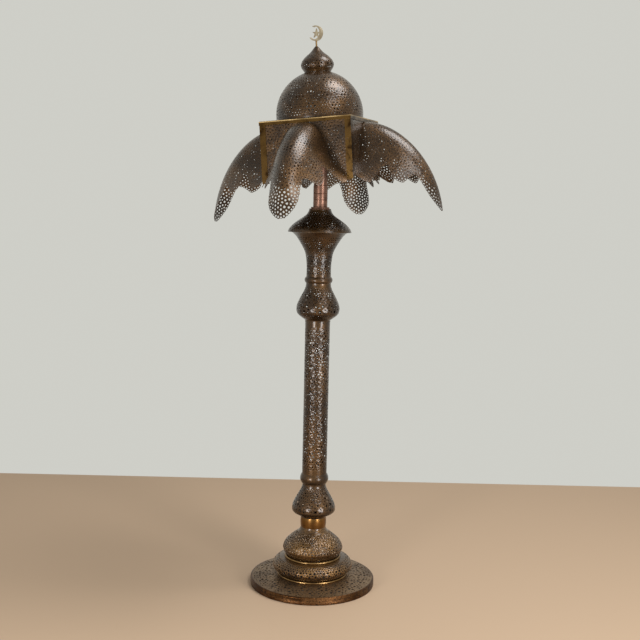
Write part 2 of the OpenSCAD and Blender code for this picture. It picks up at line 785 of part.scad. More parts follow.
// Opening of a face panel: the root arch of the leaf, a narrow seam smaller
module face_panels() {
    seam = 2.5;
    half = [for (i = [0:16]) let (s = section(0, i / 16))
        [max(s[0] - seam * min(1, i / 4), 0), box_top_z - crown_gap - s[1] - seam]];
    arch = concat([for (i = [16:-1:1]) [-half[i][0], half[i][1]]], half);
    color(warm_brass) lean() for (a = [0:90:270]) rotate([0, 0, a])
        translate([0, -panel_in, 0]) rotate([90, 0, 0]) difference() {
            translate([-panel_half, box_z + 1, 0])
                cube([2 * panel_half, flange_z - fit - box_z - 1, sheet]);
            translate([0, 0, -1]) linear_extrude(sheet + 2) polygon(concat(arch,
                [[half[16][0], box_z - 5], [-half[16][0], box_z - 5]]));
            translate([lug_rivet_x, lug_rivet_z, -1]) cylinder(r = rivet_r + hole_fit, h = 5);
        }
}

// ---- Leaf hoods

// Value at angle f of a line through a few points, with its corners softened
function eased(f, points) =
    (lookup(f - 8, points) + lookup(f - 4, points) + lookup(f, points)
        + lookup(f + 4, points) + lookup(f + 8, points)) / 5;

// Ridge of the leaf: distance out from the root and drop below the top of the box
function ridge(f) = [leaf_reach * pow(sin(f), ridge_power),
    crown_gap + leaf_drop * (1 - pow(cos(f), ridge_power))];

function ridge_heading(f) = let (d = ridge(min(f + 1, 90)) - ridge(max(f - 1, 0))) d / norm(d);

function bow(a, b, c, t) = a * (1 - t) * (1 - t) + 2 * b * t * (1 - t) + c * t * t;

// Half section at the root: a bell arch that turns out to its foot
function bell_arch(q) = q < 0.45
    ? bow([0, 0], [0.40, 0], [0.49, 0.42], q / 0.45)
    : bow([0.49, 0.42], [0.56, 0.75], [1, 1], (q - 0.45) / 0.55);

// Half section of the leaf: width and depth below the ridge
function section(f, q) = let (
        k = eased(f, [[0, 0], [8, 0], [cusp_angle, 0.75], [90, 1]]),
        w = eased(f, [[0, root_w], [shoulder_angle, root_w], [cusp_angle, cusp_w],
            [lobe_angle, lobe_w], [neck_angle, point_w], [90, tip_w]]),
        d = eased(f, [[0, root_d], [shoulder_angle, root_d * 1.018], [cusp_angle, cusp_d],
            [lobe_angle, lobe_d], [neck_angle, point_d], [90, tip_d]]),
        s = (1 - k) * bell_arch(q) + k * [q, pow(q, 1.5)])
    [w * s[0], d * s[1]];

// Smaller of two lengths, with a soft change from one to the other
function soft_min(a, b) = a <= 0 || b <= 0 ? 0 : a * b / pow(pow(a, 8) + pow(b, 8), 1 / 8);

// The depth leans back towards the box as the ridge turns down, but never into the face panel
function leaf_point(p, q) = let (
        f = min(p + sweep_angle * q * q * min(1, p / 30, (90 - p) / 25), 90),
        s = section(f, abs(q)),
        r = ridge(f),
        d = ridge_heading(f))
    [leaf_root + r[0] - soft_min(d[1] * s[1], 0.9 * r[0]), sign(q) * s[0], box_top_z - r[1] - d[0] * s[1]];

function leaf_normal(p, q) = let (
        a = leaf_point(min(p + 0.5, 90), q) - leaf_point(max(p - 0.5, 0), q),
        b = leaf_point(p, q + 0.02) - leaf_point(p, q - 0.02),
        n = cross(a, b))
    n / norm(n);

// Border of the leaf: corner, cusp, notch, side lobe, notch, long point
border = [[0, 1], [30, 1.07], [36, 0.70], [48, 0.98], [57, 0.60], [point_angle, 0.85]];

function wave(p, a, b) = a[1] + (b[1] - a[1]) * (1 - cos(180 * (p - a[0]) / (b[0] - a[0]))) / 2;

function border_at(p, i = 0) = p >= point_angle
    ? max(tip_edge, 0.85 * sqrt(max(0, 1 - pow((p - point_angle) / (90 - point_angle), 2.5))))
    : (p <= border[i + 1][0] ? wave(p, border[i], border[i + 1]) : border_at(p, i + 1));

// The lines of a leaf's grid run in pairs, with a narrow bar and then a row of openings
function grid_row(i) = 90 * (i % 2 == 0 ? i : i + 1 - 2 * leaf_mesh) / leaf_rows;

// Across the leaf the bars and openings run outwards from a bar along the ridge
function grid_column(j) = let (
        pitch = 2 / (leaf_half_cols - leaf_mesh),
        bar = pitch * (1 - leaf_mesh))
    j == 0 ? 0 : bar / 2 + floor(j / 2) * pitch * leaf_mesh + floor((j - 1) / 2) * bar;

function is_open(i, j) = i % 2 == 1 && i < leaf_open_rows
    && min(abs(j - leaf_half_cols), abs(j + 1 - leaf_half_cols)) % 2 == 1;

// Wall of one sheet's thickness along an edge of the skin
function wall(a, b, far) = [[a, b, b + far], [a, b + far, a + far]];

module leaf(turn) {
    cols = 2 * leaf_half_cols + 1;
    grid = [for (i = [0:leaf_rows]) for (j = [-leaf_half_cols:leaf_half_cols])
        let (p = grid_row(i)) [p, border_at(p) * sign(j) * grid_column(abs(j))]];
    outside = [for (g = grid) leaf_point(g[0], g[1])];
    inside = [for (i = [0:len(grid) - 1]) let (n = leaf_normal(grid[i][0], grid[i][1]),
        flat = i < cols ? [0, n[1], n[2]] : n) outside[i] - sheet * flat / norm(flat)];
    far = len(grid);
    last_row = leaf_rows * cols;
    last_col = cols - 1;
    cells = [for (i = [0:leaf_rows - 1]) for (j = [0:last_col - 1]) [i, j]];
    skin = [for (c = cells) if (!is_open(c[0], c[1])) let (a = c[0] * cols + c[1], b = a + cols)
        each [[a, a + 1, b + 1], [a, b + 1, b]]];
    lining = [for (f = skin) [f[0] + far, f[2] + far, f[1] + far]];
    reveals = [for (c = cells) if (is_open(c[0], c[1])) let (a = c[0] * cols + c[1], b = a + cols)
        each concat(wall(a, a + 1, far), wall(a + 1, b + 1, far), wall(b + 1, b, far), wall(b, a, far))];
    sides = [for (i = [0:leaf_rows - 1]) let (a = i * cols, b = a + cols)
        each concat(wall(a, b, far), wall(b + last_col, a + last_col, far))];
    ends = [for (j = [0:last_col - 1]) let (b = last_row + j)
        each concat(wall(j + 1, j, far), wall(b, b + 1, far))];
    color(warm_brass) lean() rotate([0, 0, turn])
        polyhedron(concat(outside, inside), concat(skin, lining, reveals, sides, ends));
}

module leaf_right() { leaf(0); }
module leaf_back() { leaf(90); }
module leaf_left() { leaf(180); }
module leaf_front() { leaf(270); }

// ---- Roof, dome and finial

module roof_plate() {
    color(warm_brass) lean() translate([0, 0, box_top_z]) difference() {
        translate([2 - frame_half, 2 - frame_half, 0]) cube([2 * frame_half - 4, 2 * frame_half - 4, sheet]);
        translate([0, 0, -1]) cylinder(r = dome_r - dome_flange_w, h = sheet + 2);
    }
}

// Rows of openings round the dome, as many as fit a row at one spacing
module dome_windows() {
    for (a = dome_rows) {
        b = a + dome_row_span;
        count = round(dome_row_count * cos((a + b) / 2));
        side = 180 * dome_mesh / count;
        inner = dome_r * cos(b) - 2 * dome_cut;
        outer = dome_r + dome_cut;
        for (k = [0:count - 1]) rotate([0, 0, 360 * k / count])
            translate([0, 0, dome_centre_z + dome_r * sin(a)])
            linear_extrude(dome_r * (sin(b) - sin(a)))
            polygon([[inner * cos(side), -inner * sin(side)], [outer * cos(side), -outer * sin(side)],
                [outer * cos(side), outer * sin(side)], [inner * cos(side), inner * sin(side)]]);
    }
}

module dome() {
    outside = [for (a = [0:5:85]) [dome_r * cos(a), dome_centre_z + dome_r * sin(a)]];
    inside = [for (a = [85:-5:0])
        [(dome_r - sheet) * cos(a), dome_centre_z + (dome_r - sheet) * sin(a)]];
    hole_r = finial_rod_r + fit;
    foot_in = dome_r - dome_flange_w;
    color(dark_brass) lean() difference() {
        rotate_extrude() polygon(concat([[dome_r, dome_z]], outside,
            [[hole_r, dome_top_z], [hole_r, dome_top_z - sheet]], inside,
            [[dome_r - sheet, dome_z + sheet], [foot_in, dome_z + sheet], [foot_in, dome_z]]));
        dome_windows();
    }
}

module onion() {
    tip_r = finial_rod_r + fit + 1.2;
    body = [[0, onion_foot_r], [0.07, onion_foot_r + 3], [0.17, onion_r - 3], [0.3, onion_r],
        [0.46, onion_r - 5], [0.62, onion_r - 17], [0.76, onion_r - 31.5], [0.92, tip_r + 6], [1, tip_r]];
    color(dark_brass) lean() spun([for (k = body) [k[1], onion_z + onion_h * k[0]]]);
}

module finial_rod() {
    foot_z = dome_top_z - 14;
    color(bright_brass) lean() translate([0, 0, foot_z])
        cylinder(r = finial_rod_r, h = crescent_z - crescent_r + 3 - foot_z);
}

module finial_nut() {
    top_z = dome_centre_z + sqrt(pow(dome_r - sheet, 2) - pow(washer_r, 2)) - fit;
    color(bright_brass) lean() {
        washer_disc(washer_r, finial_rod_r + hole_fit, top_z - washer_t, washer_t);
        translate([0, 0, top_z - washer_t - 4]) difference() {
            cylinder(r = 5.8, h = 4, $fn = 6);
            translate([0, 0, -1]) cylinder(r = finial_rod_r + hole_fit, h = 6);
        }
    }
}

// Crescent: widest at its back, tapering to two horns that leave a gap at the left
gap_angle = 48;
back_angle = -20;

function band_w(a) = crescent_w * (0.05 + 0.95 * pow(cos(a / 2), 2));

module crescent() {
    outside = [for (a = [gap_angle - 180:12:180 - gap_angle]) crescent_r * [cos(a), sin(a)]];
    inside = [for (a = [180 - gap_angle:-12:gap_angle - 180])
        (crescent_r - band_w(a)) * [cos(a), sin(a)]];
    color(bright_brass) lean() translate([0, 0, crescent_z]) difference() {
        rotate([0, 0, crescent_turn]) rotate([90, 0, 0]) translate([0, 0, -crescent_t / 2])
            linear_extrude(crescent_t) rotate(back_angle) polygon(concat(outside, inside));
        translate([0, 0, -crescent_r - 1]) cylinder(r = finial_rod_r + hole_fit, h = 4 + hole_fit);
    }
}

module star() {
    touch_r = crescent_r - band_w(back_angle + 56) - fit;
    shift = sqrt(pow(touch_r, 2) - pow(star_r * sin(36), 2)) - star_r * cos(36);
    points = [for (i = [0:9]) (i % 2 == 0 ? star_r : star_r * 0.36) * [cos(36 * i), sin(36 * i)]];
    color(bright_brass) lean() translate([0, 0, crescent_z]) rotate([0, 0, crescent_turn])
        rotate([90, 0, 0]) translate([0, 0, -star_t / 2]) linear_extrude(star_t)
            rotate(back_angle - 4) translate([shift, 0]) rotate(36) polygon(points);
}

felt_pad();
bottom_plate();
plate_screws();
ballast_weight();
cord_bush();
bush_nut();
base_disc();
base_bead();
step_ring();
step_bead();
bell();
neck_collar();
lower_pear();
pole_foot_ring();
pole_disc_lower();
pole_tube();
pole_disc_upper();
upper_pear();
upper_ring();
trumpet();
cap();
stem_collar();
tie_rod();
rod_nuts();
rod_washers();
rod_coupling();
stem_sleeve_low();
stem_sleeve_mid();
stem_sleeve_ring();
stem_sleeve_top();
ball_seat();
nipple();
holder_cap();
holder_shell();
holder_core();
screw_shell();
centre_contact();
switch_key();
bulb_cap();
bulb_glass();
bulb_filament();
spider();
spider_rivets();
corner_strips();
top_frame();
face_panels();
leaf_right();
leaf_back();
leaf_left();
leaf_front();
roof_plate();
dome();
onion();
finial_rod();
finial_nut();
crescent();
star();
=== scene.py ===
import math

import bpy
import numpy as np
from mathutils import Matrix, Vector
from mathutils.geometry import delaunay_2d_cdt
from mathutils.kdtree import KDTree


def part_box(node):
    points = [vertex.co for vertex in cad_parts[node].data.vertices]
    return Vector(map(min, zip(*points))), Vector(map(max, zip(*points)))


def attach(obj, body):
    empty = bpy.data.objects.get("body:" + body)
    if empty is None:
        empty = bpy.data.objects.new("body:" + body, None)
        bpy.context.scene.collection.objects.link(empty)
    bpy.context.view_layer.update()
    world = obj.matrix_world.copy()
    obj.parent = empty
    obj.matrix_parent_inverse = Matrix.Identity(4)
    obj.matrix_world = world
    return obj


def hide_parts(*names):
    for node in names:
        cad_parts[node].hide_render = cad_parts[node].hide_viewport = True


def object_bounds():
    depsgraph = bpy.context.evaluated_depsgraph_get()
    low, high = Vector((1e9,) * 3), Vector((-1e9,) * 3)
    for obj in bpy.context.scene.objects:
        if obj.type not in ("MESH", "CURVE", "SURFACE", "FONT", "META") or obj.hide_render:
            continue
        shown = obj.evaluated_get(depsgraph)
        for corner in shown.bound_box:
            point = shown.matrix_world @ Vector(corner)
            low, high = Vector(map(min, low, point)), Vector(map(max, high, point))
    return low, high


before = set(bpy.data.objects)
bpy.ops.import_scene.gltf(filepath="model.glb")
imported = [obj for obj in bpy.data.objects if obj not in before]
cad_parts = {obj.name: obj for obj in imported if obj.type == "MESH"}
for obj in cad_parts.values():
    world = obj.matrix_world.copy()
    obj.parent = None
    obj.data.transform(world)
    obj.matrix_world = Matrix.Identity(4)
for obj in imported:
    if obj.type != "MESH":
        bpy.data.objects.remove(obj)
cad_low, cad_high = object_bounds()


# ---- Felt, bottom plate, ballast and clamping tube -----------------------------------------------
# A felt disc glued under a plated steel plate, screwed to a rough cast iron weight. A threaded steel
# tube runs up from it and clamps the whole stack. All of it hides inside the lamp.

def new_material(name):
    material = bpy.data.materials.new(name)
    material.use_nodes = True
    return material, material.node_tree.nodes, material.node_tree.links


def finish_of(material):
    return material.node_tree.nodes["Principled BSDF"]


def plain_finish(name, colour, metallic, roughness):
    material, nodes, links = new_material(name)
    shader = finish_of(material)
    shader.inputs["Base Color"].default_value = (*colour, 1)
    shader.inputs["Metallic"].default_value = metallic
    shader.inputs["Roughness"].default_value = roughness
    return material


def add_socket(group, kind, name, value=None, out=False):
    socket = group.interface.new_socket(name, in_out="OUTPUT" if out else "INPUT", socket_type=kind)
    if value is not None:
        socket.default_value = value


def new_group(name):
    group = bpy.data.node_groups.new(name, "ShaderNodeTree")
    return group, group.nodes, group.links


def mix_colours(nodes, links, factor, first, second):
    node = nodes.new("ShaderNodeMix")
    node.data_type = "RGBA"
    for socket, value in ((node.inputs[0], factor), (node.inputs[6], first), (node.inputs[7], second)):
        if isinstance(value, bpy.types.NodeSocket):
            links.new(value, socket)
        else:
            socket.default_value = value
    return node.outputs[2]


def stretch(nodes, links, value, low, high, to_low=0.0, to_high=1.0):
    node = nodes.new("ShaderNodeMapRange")
    links.new(value, node.inputs["Value"])
    for name, number in (("From Min", low), ("From Max", high), ("To Min", to_low), ("To Max", to_high)):
        node.inputs[name].default_value = number
    return node.outputs[0]


def noise_on(nodes, links, place, scale, detail=3.0, distortion=0.0):
    node = nodes.new("ShaderNodeTexNoise")
    node.inputs["Scale"].default_value = scale
    node.inputs["Detail"].default_value = detail
    node.inputs["Distortion"].default_value = distortion
    links.new(place, node.inputs["Vector"])
    return node.outputs["Fac"]


def rough_ground():
    """Grain of felt and cast iron: a mottled mask and a fine height."""
    group, nodes, links = new_group("Rough ground")
    add_socket(group, "NodeSocketFloat", "Scale", 400.0)
    add_socket(group, "NodeSocketFloat", "Mottle", out=True)
    add_socket(group, "NodeSocketFloat", "Height", out=True)
    given, put = nodes.new("NodeGroupInput"), nodes.new("NodeGroupOutput")
    place = nodes.new("ShaderNodeTexCoord").outputs["Object"]
    grain = nodes.new("ShaderNodeTexNoise")
    grain.inputs["Detail"].default_value = 5
    links.new(place, grain.inputs["Vector"])
    links.new(given.outputs["Scale"], grain.inputs["Scale"])
    links.new(stretch(nodes, links, noise_on(nodes, links, place, 30), 0.35, 0.65), put.inputs["Mottle"])
    links.new(grain.outputs["Fac"], put.inputs["Height"])
    return group


def use_group(nodes, group, **values):
    node = nodes.new("ShaderNodeGroup")
    node.node_tree = group
    for name, value in values.items():
        node.inputs[name.replace("_", " ")].default_value = value
    return node


def raise_from(nodes, links, shader, height, strength, distance):
    bump = nodes.new("ShaderNodeBump")
    bump.inputs["Strength"].default_value = strength
    bump.inputs["Distance"].default_value = distance
    links.new(height, bump.inputs["Height"])
    links.new(bump.outputs["Normal"], shader.inputs["Normal"])


rough_group = rough_ground()


def rough_finish(name, dark, light, metallic, roughness, scale):
    material, nodes, links = new_material(name)
    shader = finish_of(material)
    ground = use_group(nodes, rough_group, Scale=scale)
    links.new(mix_colours(nodes, links, ground.outputs["Mottle"], (*dark, 1), (*light, 1)),
              shader.inputs["Base Color"])
    shader.inputs["Metallic"].default_value = metallic
    shader.inputs["Roughness"].default_value = roughness
    raise_from(nodes, links, shader, ground.outputs["Height"], 0.5, 0.0006)
    return material


felt = rough_finish("Dark green felt", (0.02, 0.025, 0.02), (0.04, 0.05, 0.04), 0.0, 0.95, 900.0)
cast_iron = rough_finish("Rough cast iron", (0.05, 0.05, 0.055), (0.12, 0.11, 0.10), 0.6, 0.7, 300.0)
plated_steel = plain_finish("Plated steel", (0.56, 0.57, 0.58), 1.0, 0.32)


def dress(material, *nodes):
    for node in nodes:
        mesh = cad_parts[node].data
        mesh.materials.clear()
        mesh.materials.append(material)


dress(felt, "felt_pad")
dress(cast_iron, "ballast_weight")
dress(plated_steel, "bottom_plate", "plate_screws", "bush_nut", "tie_rod", "pole_disc_lower", "nipple")


# ---- Base disc ------------------------------------------------------------------------------------
# The lowest step: a disc spun from brass sheet, with a rolled edge. Its top is chased with flowers and
# pierced with a fret saw, then browned, and its turned-down rim is engraved but not pierced.

sheet = 0.001
sawn_roundness = 0.6


def voronoi_rings(seeds, count):
    """Corners of the cells round the first seeds: each corner's owner and place, ring by ring."""
    found = delaunay_2d_cdt([Vector(seed) for seed in seeds], [], [], 0, 1e-9)
    spots = np.array([spot[:] for spot in found[0]])
    corners = np.array(found[2])
    source = np.array([first[0] if first else len(seeds) for first in found[3]])
    a, b, c = (spots[corners[:, i]] for i in range(3))
    ab, ac = b - a, c - a
    twice = 2 * (ab[:, 0] * ac[:, 1] - ab[:, 1] * ac[:, 0])
    twice[np.abs(twice) < 1e-18] = 1e-18
    ab2, ac2 = (ab ** 2).sum(1), (ac ** 2).sum(1)
    offset = np.stack([ac[:, 1] * ab2 - ab[:, 1] * ac2, ab[:, 0] * ac2 - ac[:, 0] * ab2], 1)
    centre = a + offset / twice[:, None]
    owner = source[corners].ravel()
    place = np.repeat(centre, 3, axis=0)
    middle = spots[corners].reshape(-1, 2)
    mine = owner < count
    owner, place, middle = owner[mine], place[mine], middle[mine]
    turn = np.arctan2(place[:, 1] - middle[:, 1], place[:, 0] - middle[:, 0])
    order = np.lexsort((turn, owner))
    return owner[order], place[order]


def next_in_ring(owner):
    following = np.arange(1, len(owner) + 1)
    first = np.r_[True, owner[1:] != owner[:-1]]
    last = np.r_[owner[1:] != owner[:-1], True]
    following[last] = np.flatnonzero(first)
    return following


def without_short_sides(owner, place, shortest):
    following = next_in_ring(owner)
    long_side = np.hypot(*(place[following] - place).T) > shortest
    return owner[long_side], place[long_side]


def pierced_sheet(owner, place, opening, roundness, lay, lining, copies=1, full_turn=8.0, sink=0.00015):
    """Metal left standing round the holes: every cell keeps a rim, and a cell of no opening is closed.

    A ring repeats its gore and closes after a full turn; a flat sheet is never as wide as that.
    """
    widest, circle_share = 0.9, 1.12
    following = next_in_ring(owner)
    names, owner = np.unique(owner, return_inverse=True)
    opening = opening[names]
    cells = len(names)
    sides = np.bincount(owner, minlength=cells)
    middle = np.stack([np.bincount(owner, place[:, i], cells) for i in (0, 1)], 1) / sides[:, None]
    out = place - middle[owner]
    side = place[following] - place
    reach = np.abs(out[:, 0] * side[:, 1] - out[:, 1] * side[:, 0]) / np.hypot(*side.T)
    narrow = np.full(cells, 1e9)
    np.minimum.at(narrow, owner, reach)
    far = np.hypot(*out.T)
    share = opening[owner] * (1 - roundness + roundness * circle_share * narrow[owner] / far)
    hole = middle[owner] + out * np.minimum(share, widest)[:, None]

    total = len(owner)
    shift = np.zeros((copies, 1, 2))
    shift[:, 0, 0] = np.arange(copies) * full_turn / copies
    place = (place + shift).reshape(-1, 2)
    hole = (hole + shift).reshape(-1, 2)
    middle = (middle + shift).reshape(-1, 2)
    following = (following + np.arange(copies)[:, None] * total).ravel()
    owner = (owner + np.arange(copies)[:, None] * cells).ravel()
    opening = np.tile(opening, copies)

    grid = 1 << 20
    step = full_turn / grid
    key = np.round(place / step).astype(np.int64)
    key[:, 0] %= grid
    key = key[:, 0] * (1 << 30) + key[:, 1] + (1 << 28)
    _, first, corner = np.unique(key, return_index=True, return_inverse=True)
    shared = len(first)

    open_cell = opening[owner] > 0
    rim = np.flatnonzero(open_cell)
    rim_at = np.full(len(owner), -1)
    rim_at[rim] = np.arange(len(rim))
    rim_next = rim_at[following[rim]]
    closed = np.flatnonzero(opening <= 0)
    boss_at = np.full(len(opening), -1)
    boss_at[closed] = np.arange(len(closed))
    flat = np.flatnonzero(~open_cell)

    points = [lay(place[first], 0.0), lay(hole[rim], sink), lay(hole[rim], sheet), lay(middle[closed], sink)]
    at_rim = shared
    at_back = at_rim + len(rim)
    at_boss = at_back + len(rim)
    at_lining = at_boss + len(closed)
    here, there = corner[rim], corner[following[rim]]
    front = np.stack([here, there, at_rim + rim_next, at_rim + np.arange(len(rim))], 1)
    front_map = np.stack([place[rim], place[following[rim]], hole[rim[rim_next]], hole[rim]], 1)
    wall = np.stack([at_rim + np.arange(len(rim)), at_rim + rim_next,
                     at_back + rim_next, at_back + np.arange(len(rim))], 1)
    wall_map = np.stack([hole[rim], hole[rim[rim_next]], hole[rim[rim_next]], hole[rim]], 1)
    quads, quad_map = [front, wall], [front_map, wall_map]
    side_of_quads = [0, 0]
    boss = np.stack([corner[flat], corner[following[flat]], at_boss + boss_at[owner[flat]]], 1)
    boss_map = np.stack([place[flat], place[following[flat]], middle[owner[flat]]], 1)
    tris, tri_map, side_of_tris = [boss], [boss_map], [0]
    if lining:
        points += [lay(place[first], sheet), lay(middle[closed], sheet)]
        at_back_boss = at_lining + shared
        back = np.stack([at_lining + here, at_back + np.arange(len(rim)), at_back + rim_next,
                         at_lining + there], 1)
        quads.append(back)
        quad_map.append(np.stack([place[rim], hole[rim], hole[rim[rim_next]], place[following[rim]]], 1))
        side_of_quads.append(1)
        tris.append(np.stack([at_lining + corner[following[flat]], at_lining + corner[flat],
                              at_back_boss + boss_at[owner[flat]]], 1))
        tri_map.append(np.stack([place[following[flat]], place[flat], middle[owner[flat]]], 1))
        side_of_tris.append(1)
        a, b = corner, corner[following]
        edge = np.flatnonzero(~np.isin(a * shared + b, b * shared + a))
        quads.append(np.stack([b[edge], a[edge], at_lining + a[edge], at_lining + b[edge]], 1))
        ends = place[following[edge]]
        quad_map.append(np.stack([ends, place[edge], place[edge], ends], 1))
        side_of_quads.append(0)
    return {
        "points": np.concatenate(points),
        "quads": np.concatenate(quads),
        "tris": np.concatenate(tris),
        "quad_map": quad_map,
        "tri_map": tri_map,
        "sides": (side_of_quads, side_of_tris),
        "scale": 1.0,
    }


def spun(outline, lay_on=None):
    """A surface of revolution, measured so that a pattern keeps its shape where the radius changes."""
    line = np.array(outline)
    step = np.diff(line, axis=0)
    run = np.hypot(*step.T)
    height = np.r_[0, np.cumsum(run * 2 / (line[1:, 0] + line[:-1, 0]))]
    heading = np.gradient(line, height, axis=0)
    heading /= np.hypot(*heading.T)[:, None]

    def lay(spot, depth):
        radius, level, ahead, up = (np.interp(spot[:, 1], height, run) for run in (*line.T, *heading.T))
        radius = radius - depth * up
        level = level + depth * ahead
        points = np.stack([radius * np.cos(spot[:, 0]), radius * np.sin(spot[:, 0]), level], 1)
        return lay_on(points) if lay_on else points

    return lay, height, line


def chased_pattern(width, height, columns, flowers=(), opening=0.5, closed=None, seed=1):
    """Seeds of one gore: close rows of small holes, with flowers of petals round a dot set among them."""
    row_rise, stray, petal_gap, dot_opening, petal_extra, petal_most = 0.866, 0.4, 0.55, 0.5, 0.22, 0.8
    pitch = width / columns
    rows = max(2, round(height / (row_rise * pitch)))
    chance = np.random.RandomState(seed)
    level = (np.arange(rows) + 0.5) * height / rows
    across = (np.arange(columns) + 0.25) * pitch
    spots = np.array([(x + (pitch / 2 if row % 2 else 0), y) for row, y in enumerate(level) for x in across])
    spots += (chance.rand(*spots.shape) - 0.5) * pitch * stray
    holes = opening * (0.8 + 0.4 * chance.rand(len(spots)))
    for x, y, size, petals in flowers:
        gap = spots - (x * width, y * height)
        gap[:, 0] -= width * np.round(gap[:, 0] / width)
        clear = np.hypot(*gap.T) > (size + petal_gap) * pitch
        turn = 2 * math.pi * (np.arange(petals) + 0.5) / petals
        ring = (x * width, y * height) + size * pitch * np.stack([np.sin(turn), np.cos(turn)], 1)
        spots = np.concatenate([spots[clear], [(x * width, y * height)], ring])
        petal_opening = min(petal_most, opening + petal_extra)
        holes = np.concatenate([holes[clear], [dot_opening], np.full(petals, petal_opening)])
    spots[:, 0] %= width
    if closed is not None:
        holes[closed(spots[:, 0] / width, spots[:, 1] / height)] = 0.0
    return spots, holes


def pierced_band(outline, low, high, gores, columns, lay_on=None, lining=False, relief=0.0002, **pattern):
    """A pierced ring of a spun piece, between two shares of the outline's height."""
    lay, height, line = spun(outline, lay_on)
    foot, top = height[-1] * low, height[-1] * high
    width = 2 * math.pi / gores
    spots, holes = chased_pattern(width, top - foot, columns, **pattern)
    spots[:, 1] += foot
    around = [spots] + [spots + (side, 0) for side in (-width, width)]
    around += [np.stack([s[:, 0], 2 * edge - s[:, 1]], 1) for edge in (foot, top) for s in around]
    owner, place = voronoi_rings(np.concatenate(around), len(spots))
    owner, place = without_short_sides(owner, place, width / columns * 0.02)
    part = pierced_sheet(owner, place, holes, sawn_roundness, lay, lining, gores, 2 * math.pi, relief)
    part["scale"] = np.interp((foot + top) / 2, height, line[:, 0])
    return part


def turned_part(outline, steps=96, lay_on=None):
    """A plain turned surface through the outline's points, drawn upwards for an outer side."""
    line = np.array(outline)
    rows = len(line)
    turn = np.linspace(0, 2 * math.pi, steps + 1)
    points = np.array([(r * math.cos(a), r * math.sin(a), z) for r, z in line for a in turn[:-1]])
    if lay_on:
        points = lay_on(points)
    run = np.r_[0, np.cumsum(np.hypot(*np.diff(line, axis=0).T))]
    quads, spots = [], []
    for i in range(rows - 1):
        for j in range(steps):
            k = (j + 1) % steps
            quads.append((i * steps + j, i * steps + k, (i + 1) * steps + k, (i + 1) * steps + j))
            near, far = turn[j], turn[j + 1]
            spots.append(((near, run[i]), (far, run[i]), (far, run[i + 1]), (near, run[i + 1])))
    spots = np.array(spots)
    spots[:, :, 0] *= line[:, 0].max()
    return {
        "points": points,
        "quads": np.array(quads),
        "tris": np.zeros((0, 3), int),
        "quad_map": [spots],
        "tri_map": [np.zeros((0, 3, 2))],
        "sides": ([0], [0]),
        "scale": 1.0,
        "smooth": True,
    }


def make_piece(name, parts, body, slot, *replaced):
    """Joins the parts of one piece, and lays them out side by side in the map that holds its colours."""
    gap_between, margin = 1.02, 1.01
    rectangles = []
    for part in parts:
        for kind, maps in ((0, part["quad_map"]), (1, part["tri_map"])):
            for which, spots in enumerate(maps):
                rectangles.append((part, part["sides"][kind][which], spots * part["scale"]))
    shelves, top, wide = {}, 0.0, 0.0
    for part, side, spots in rectangles:
        if not len(spots):
            continue
        low, high = spots.reshape(-1, 2).min(0), spots.reshape(-1, 2).max(0)
        key = (id(part), side)
        old = shelves.get(key)
        shelves[key] = (low, high) if old is None else (np.minimum(low, old[0]), np.maximum(high, old[1]))
    offsets = {}
    for key, (low, high) in shelves.items():
        offsets[key] = (-low[0], top - low[1])
        top += (high[1] - low[1]) * gap_between
        wide = max(wide, high[0] - low[0])
    side_length = max(top, wide) * margin

    points = np.concatenate([part["points"] for part in parts])
    start = np.cumsum([0] + [len(part["points"]) for part in parts])
    quads = np.concatenate([part["quads"] + start[i] for i, part in enumerate(parts)])
    tris = np.concatenate([part["tris"] + start[i] for i, part in enumerate(parts)])
    smooth = np.concatenate([np.full(len(part["quads"]), part.get("smooth", False)) for part in parts]
                            + [np.full(len(part["tris"]), part.get("smooth", False)) for part in parts])
    mapped = {0: [], 1: []}
    for part in parts:
        for kind, maps in ((0, part["quad_map"]), (1, part["tri_map"])):
            for which, spots in enumerate(maps):
                if len(spots):
                    offset = offsets[(id(part), part["sides"][kind][which])]
                    mapped[kind].append((spots * part["scale"] + offset).reshape(-1, 2) / side_length)
    layout = np.concatenate(mapped[0] + mapped[1])

    mesh = bpy.data.meshes.new(name)
    mesh.vertices.add(len(points))
    mesh.vertices.foreach_set("co", points.astype(np.float32).ravel())
    loops = np.concatenate([quads.ravel(), tris.ravel()]).astype(np.int32)
    mesh.loops.add(len(loops))
    mesh.loops.foreach_set("vertex_index", loops)
    starts = np.concatenate([np.arange(len(quads)) * 4, len(quads) * 4 + np.arange(len(tris)) * 3])
    mesh.polygons.add(len(starts))
    mesh.polygons.foreach_set("loop_start", starts.astype(np.int32))
    mesh.polygons.foreach_set("use_smooth", smooth)
    chart = mesh.uv_layers.new(name="OFBake")
    chart.data.foreach_set("uv", layout.astype(np.float32).ravel())
    mesh.update(calc_edges=True)
    mesh.validate()
    piece = bpy.data.objects.new(name, mesh)
    bpy.context.scene.collection.objects.link(piece)
    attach(piece, body)
    if replaced:
        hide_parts(*replaced)
    return piece


def calculate(nodes, links, operation, first, second=0.0):
    node = nodes.new("ShaderNodeMath")
    node.operation = operation
    for socket, value in zip(node.inputs, (first, second)):
        if isinstance(value, bpy.types.NodeSocket):
            links.new(value, socket)
        else:
            socket.default_value = value
    return node.outputs[0]


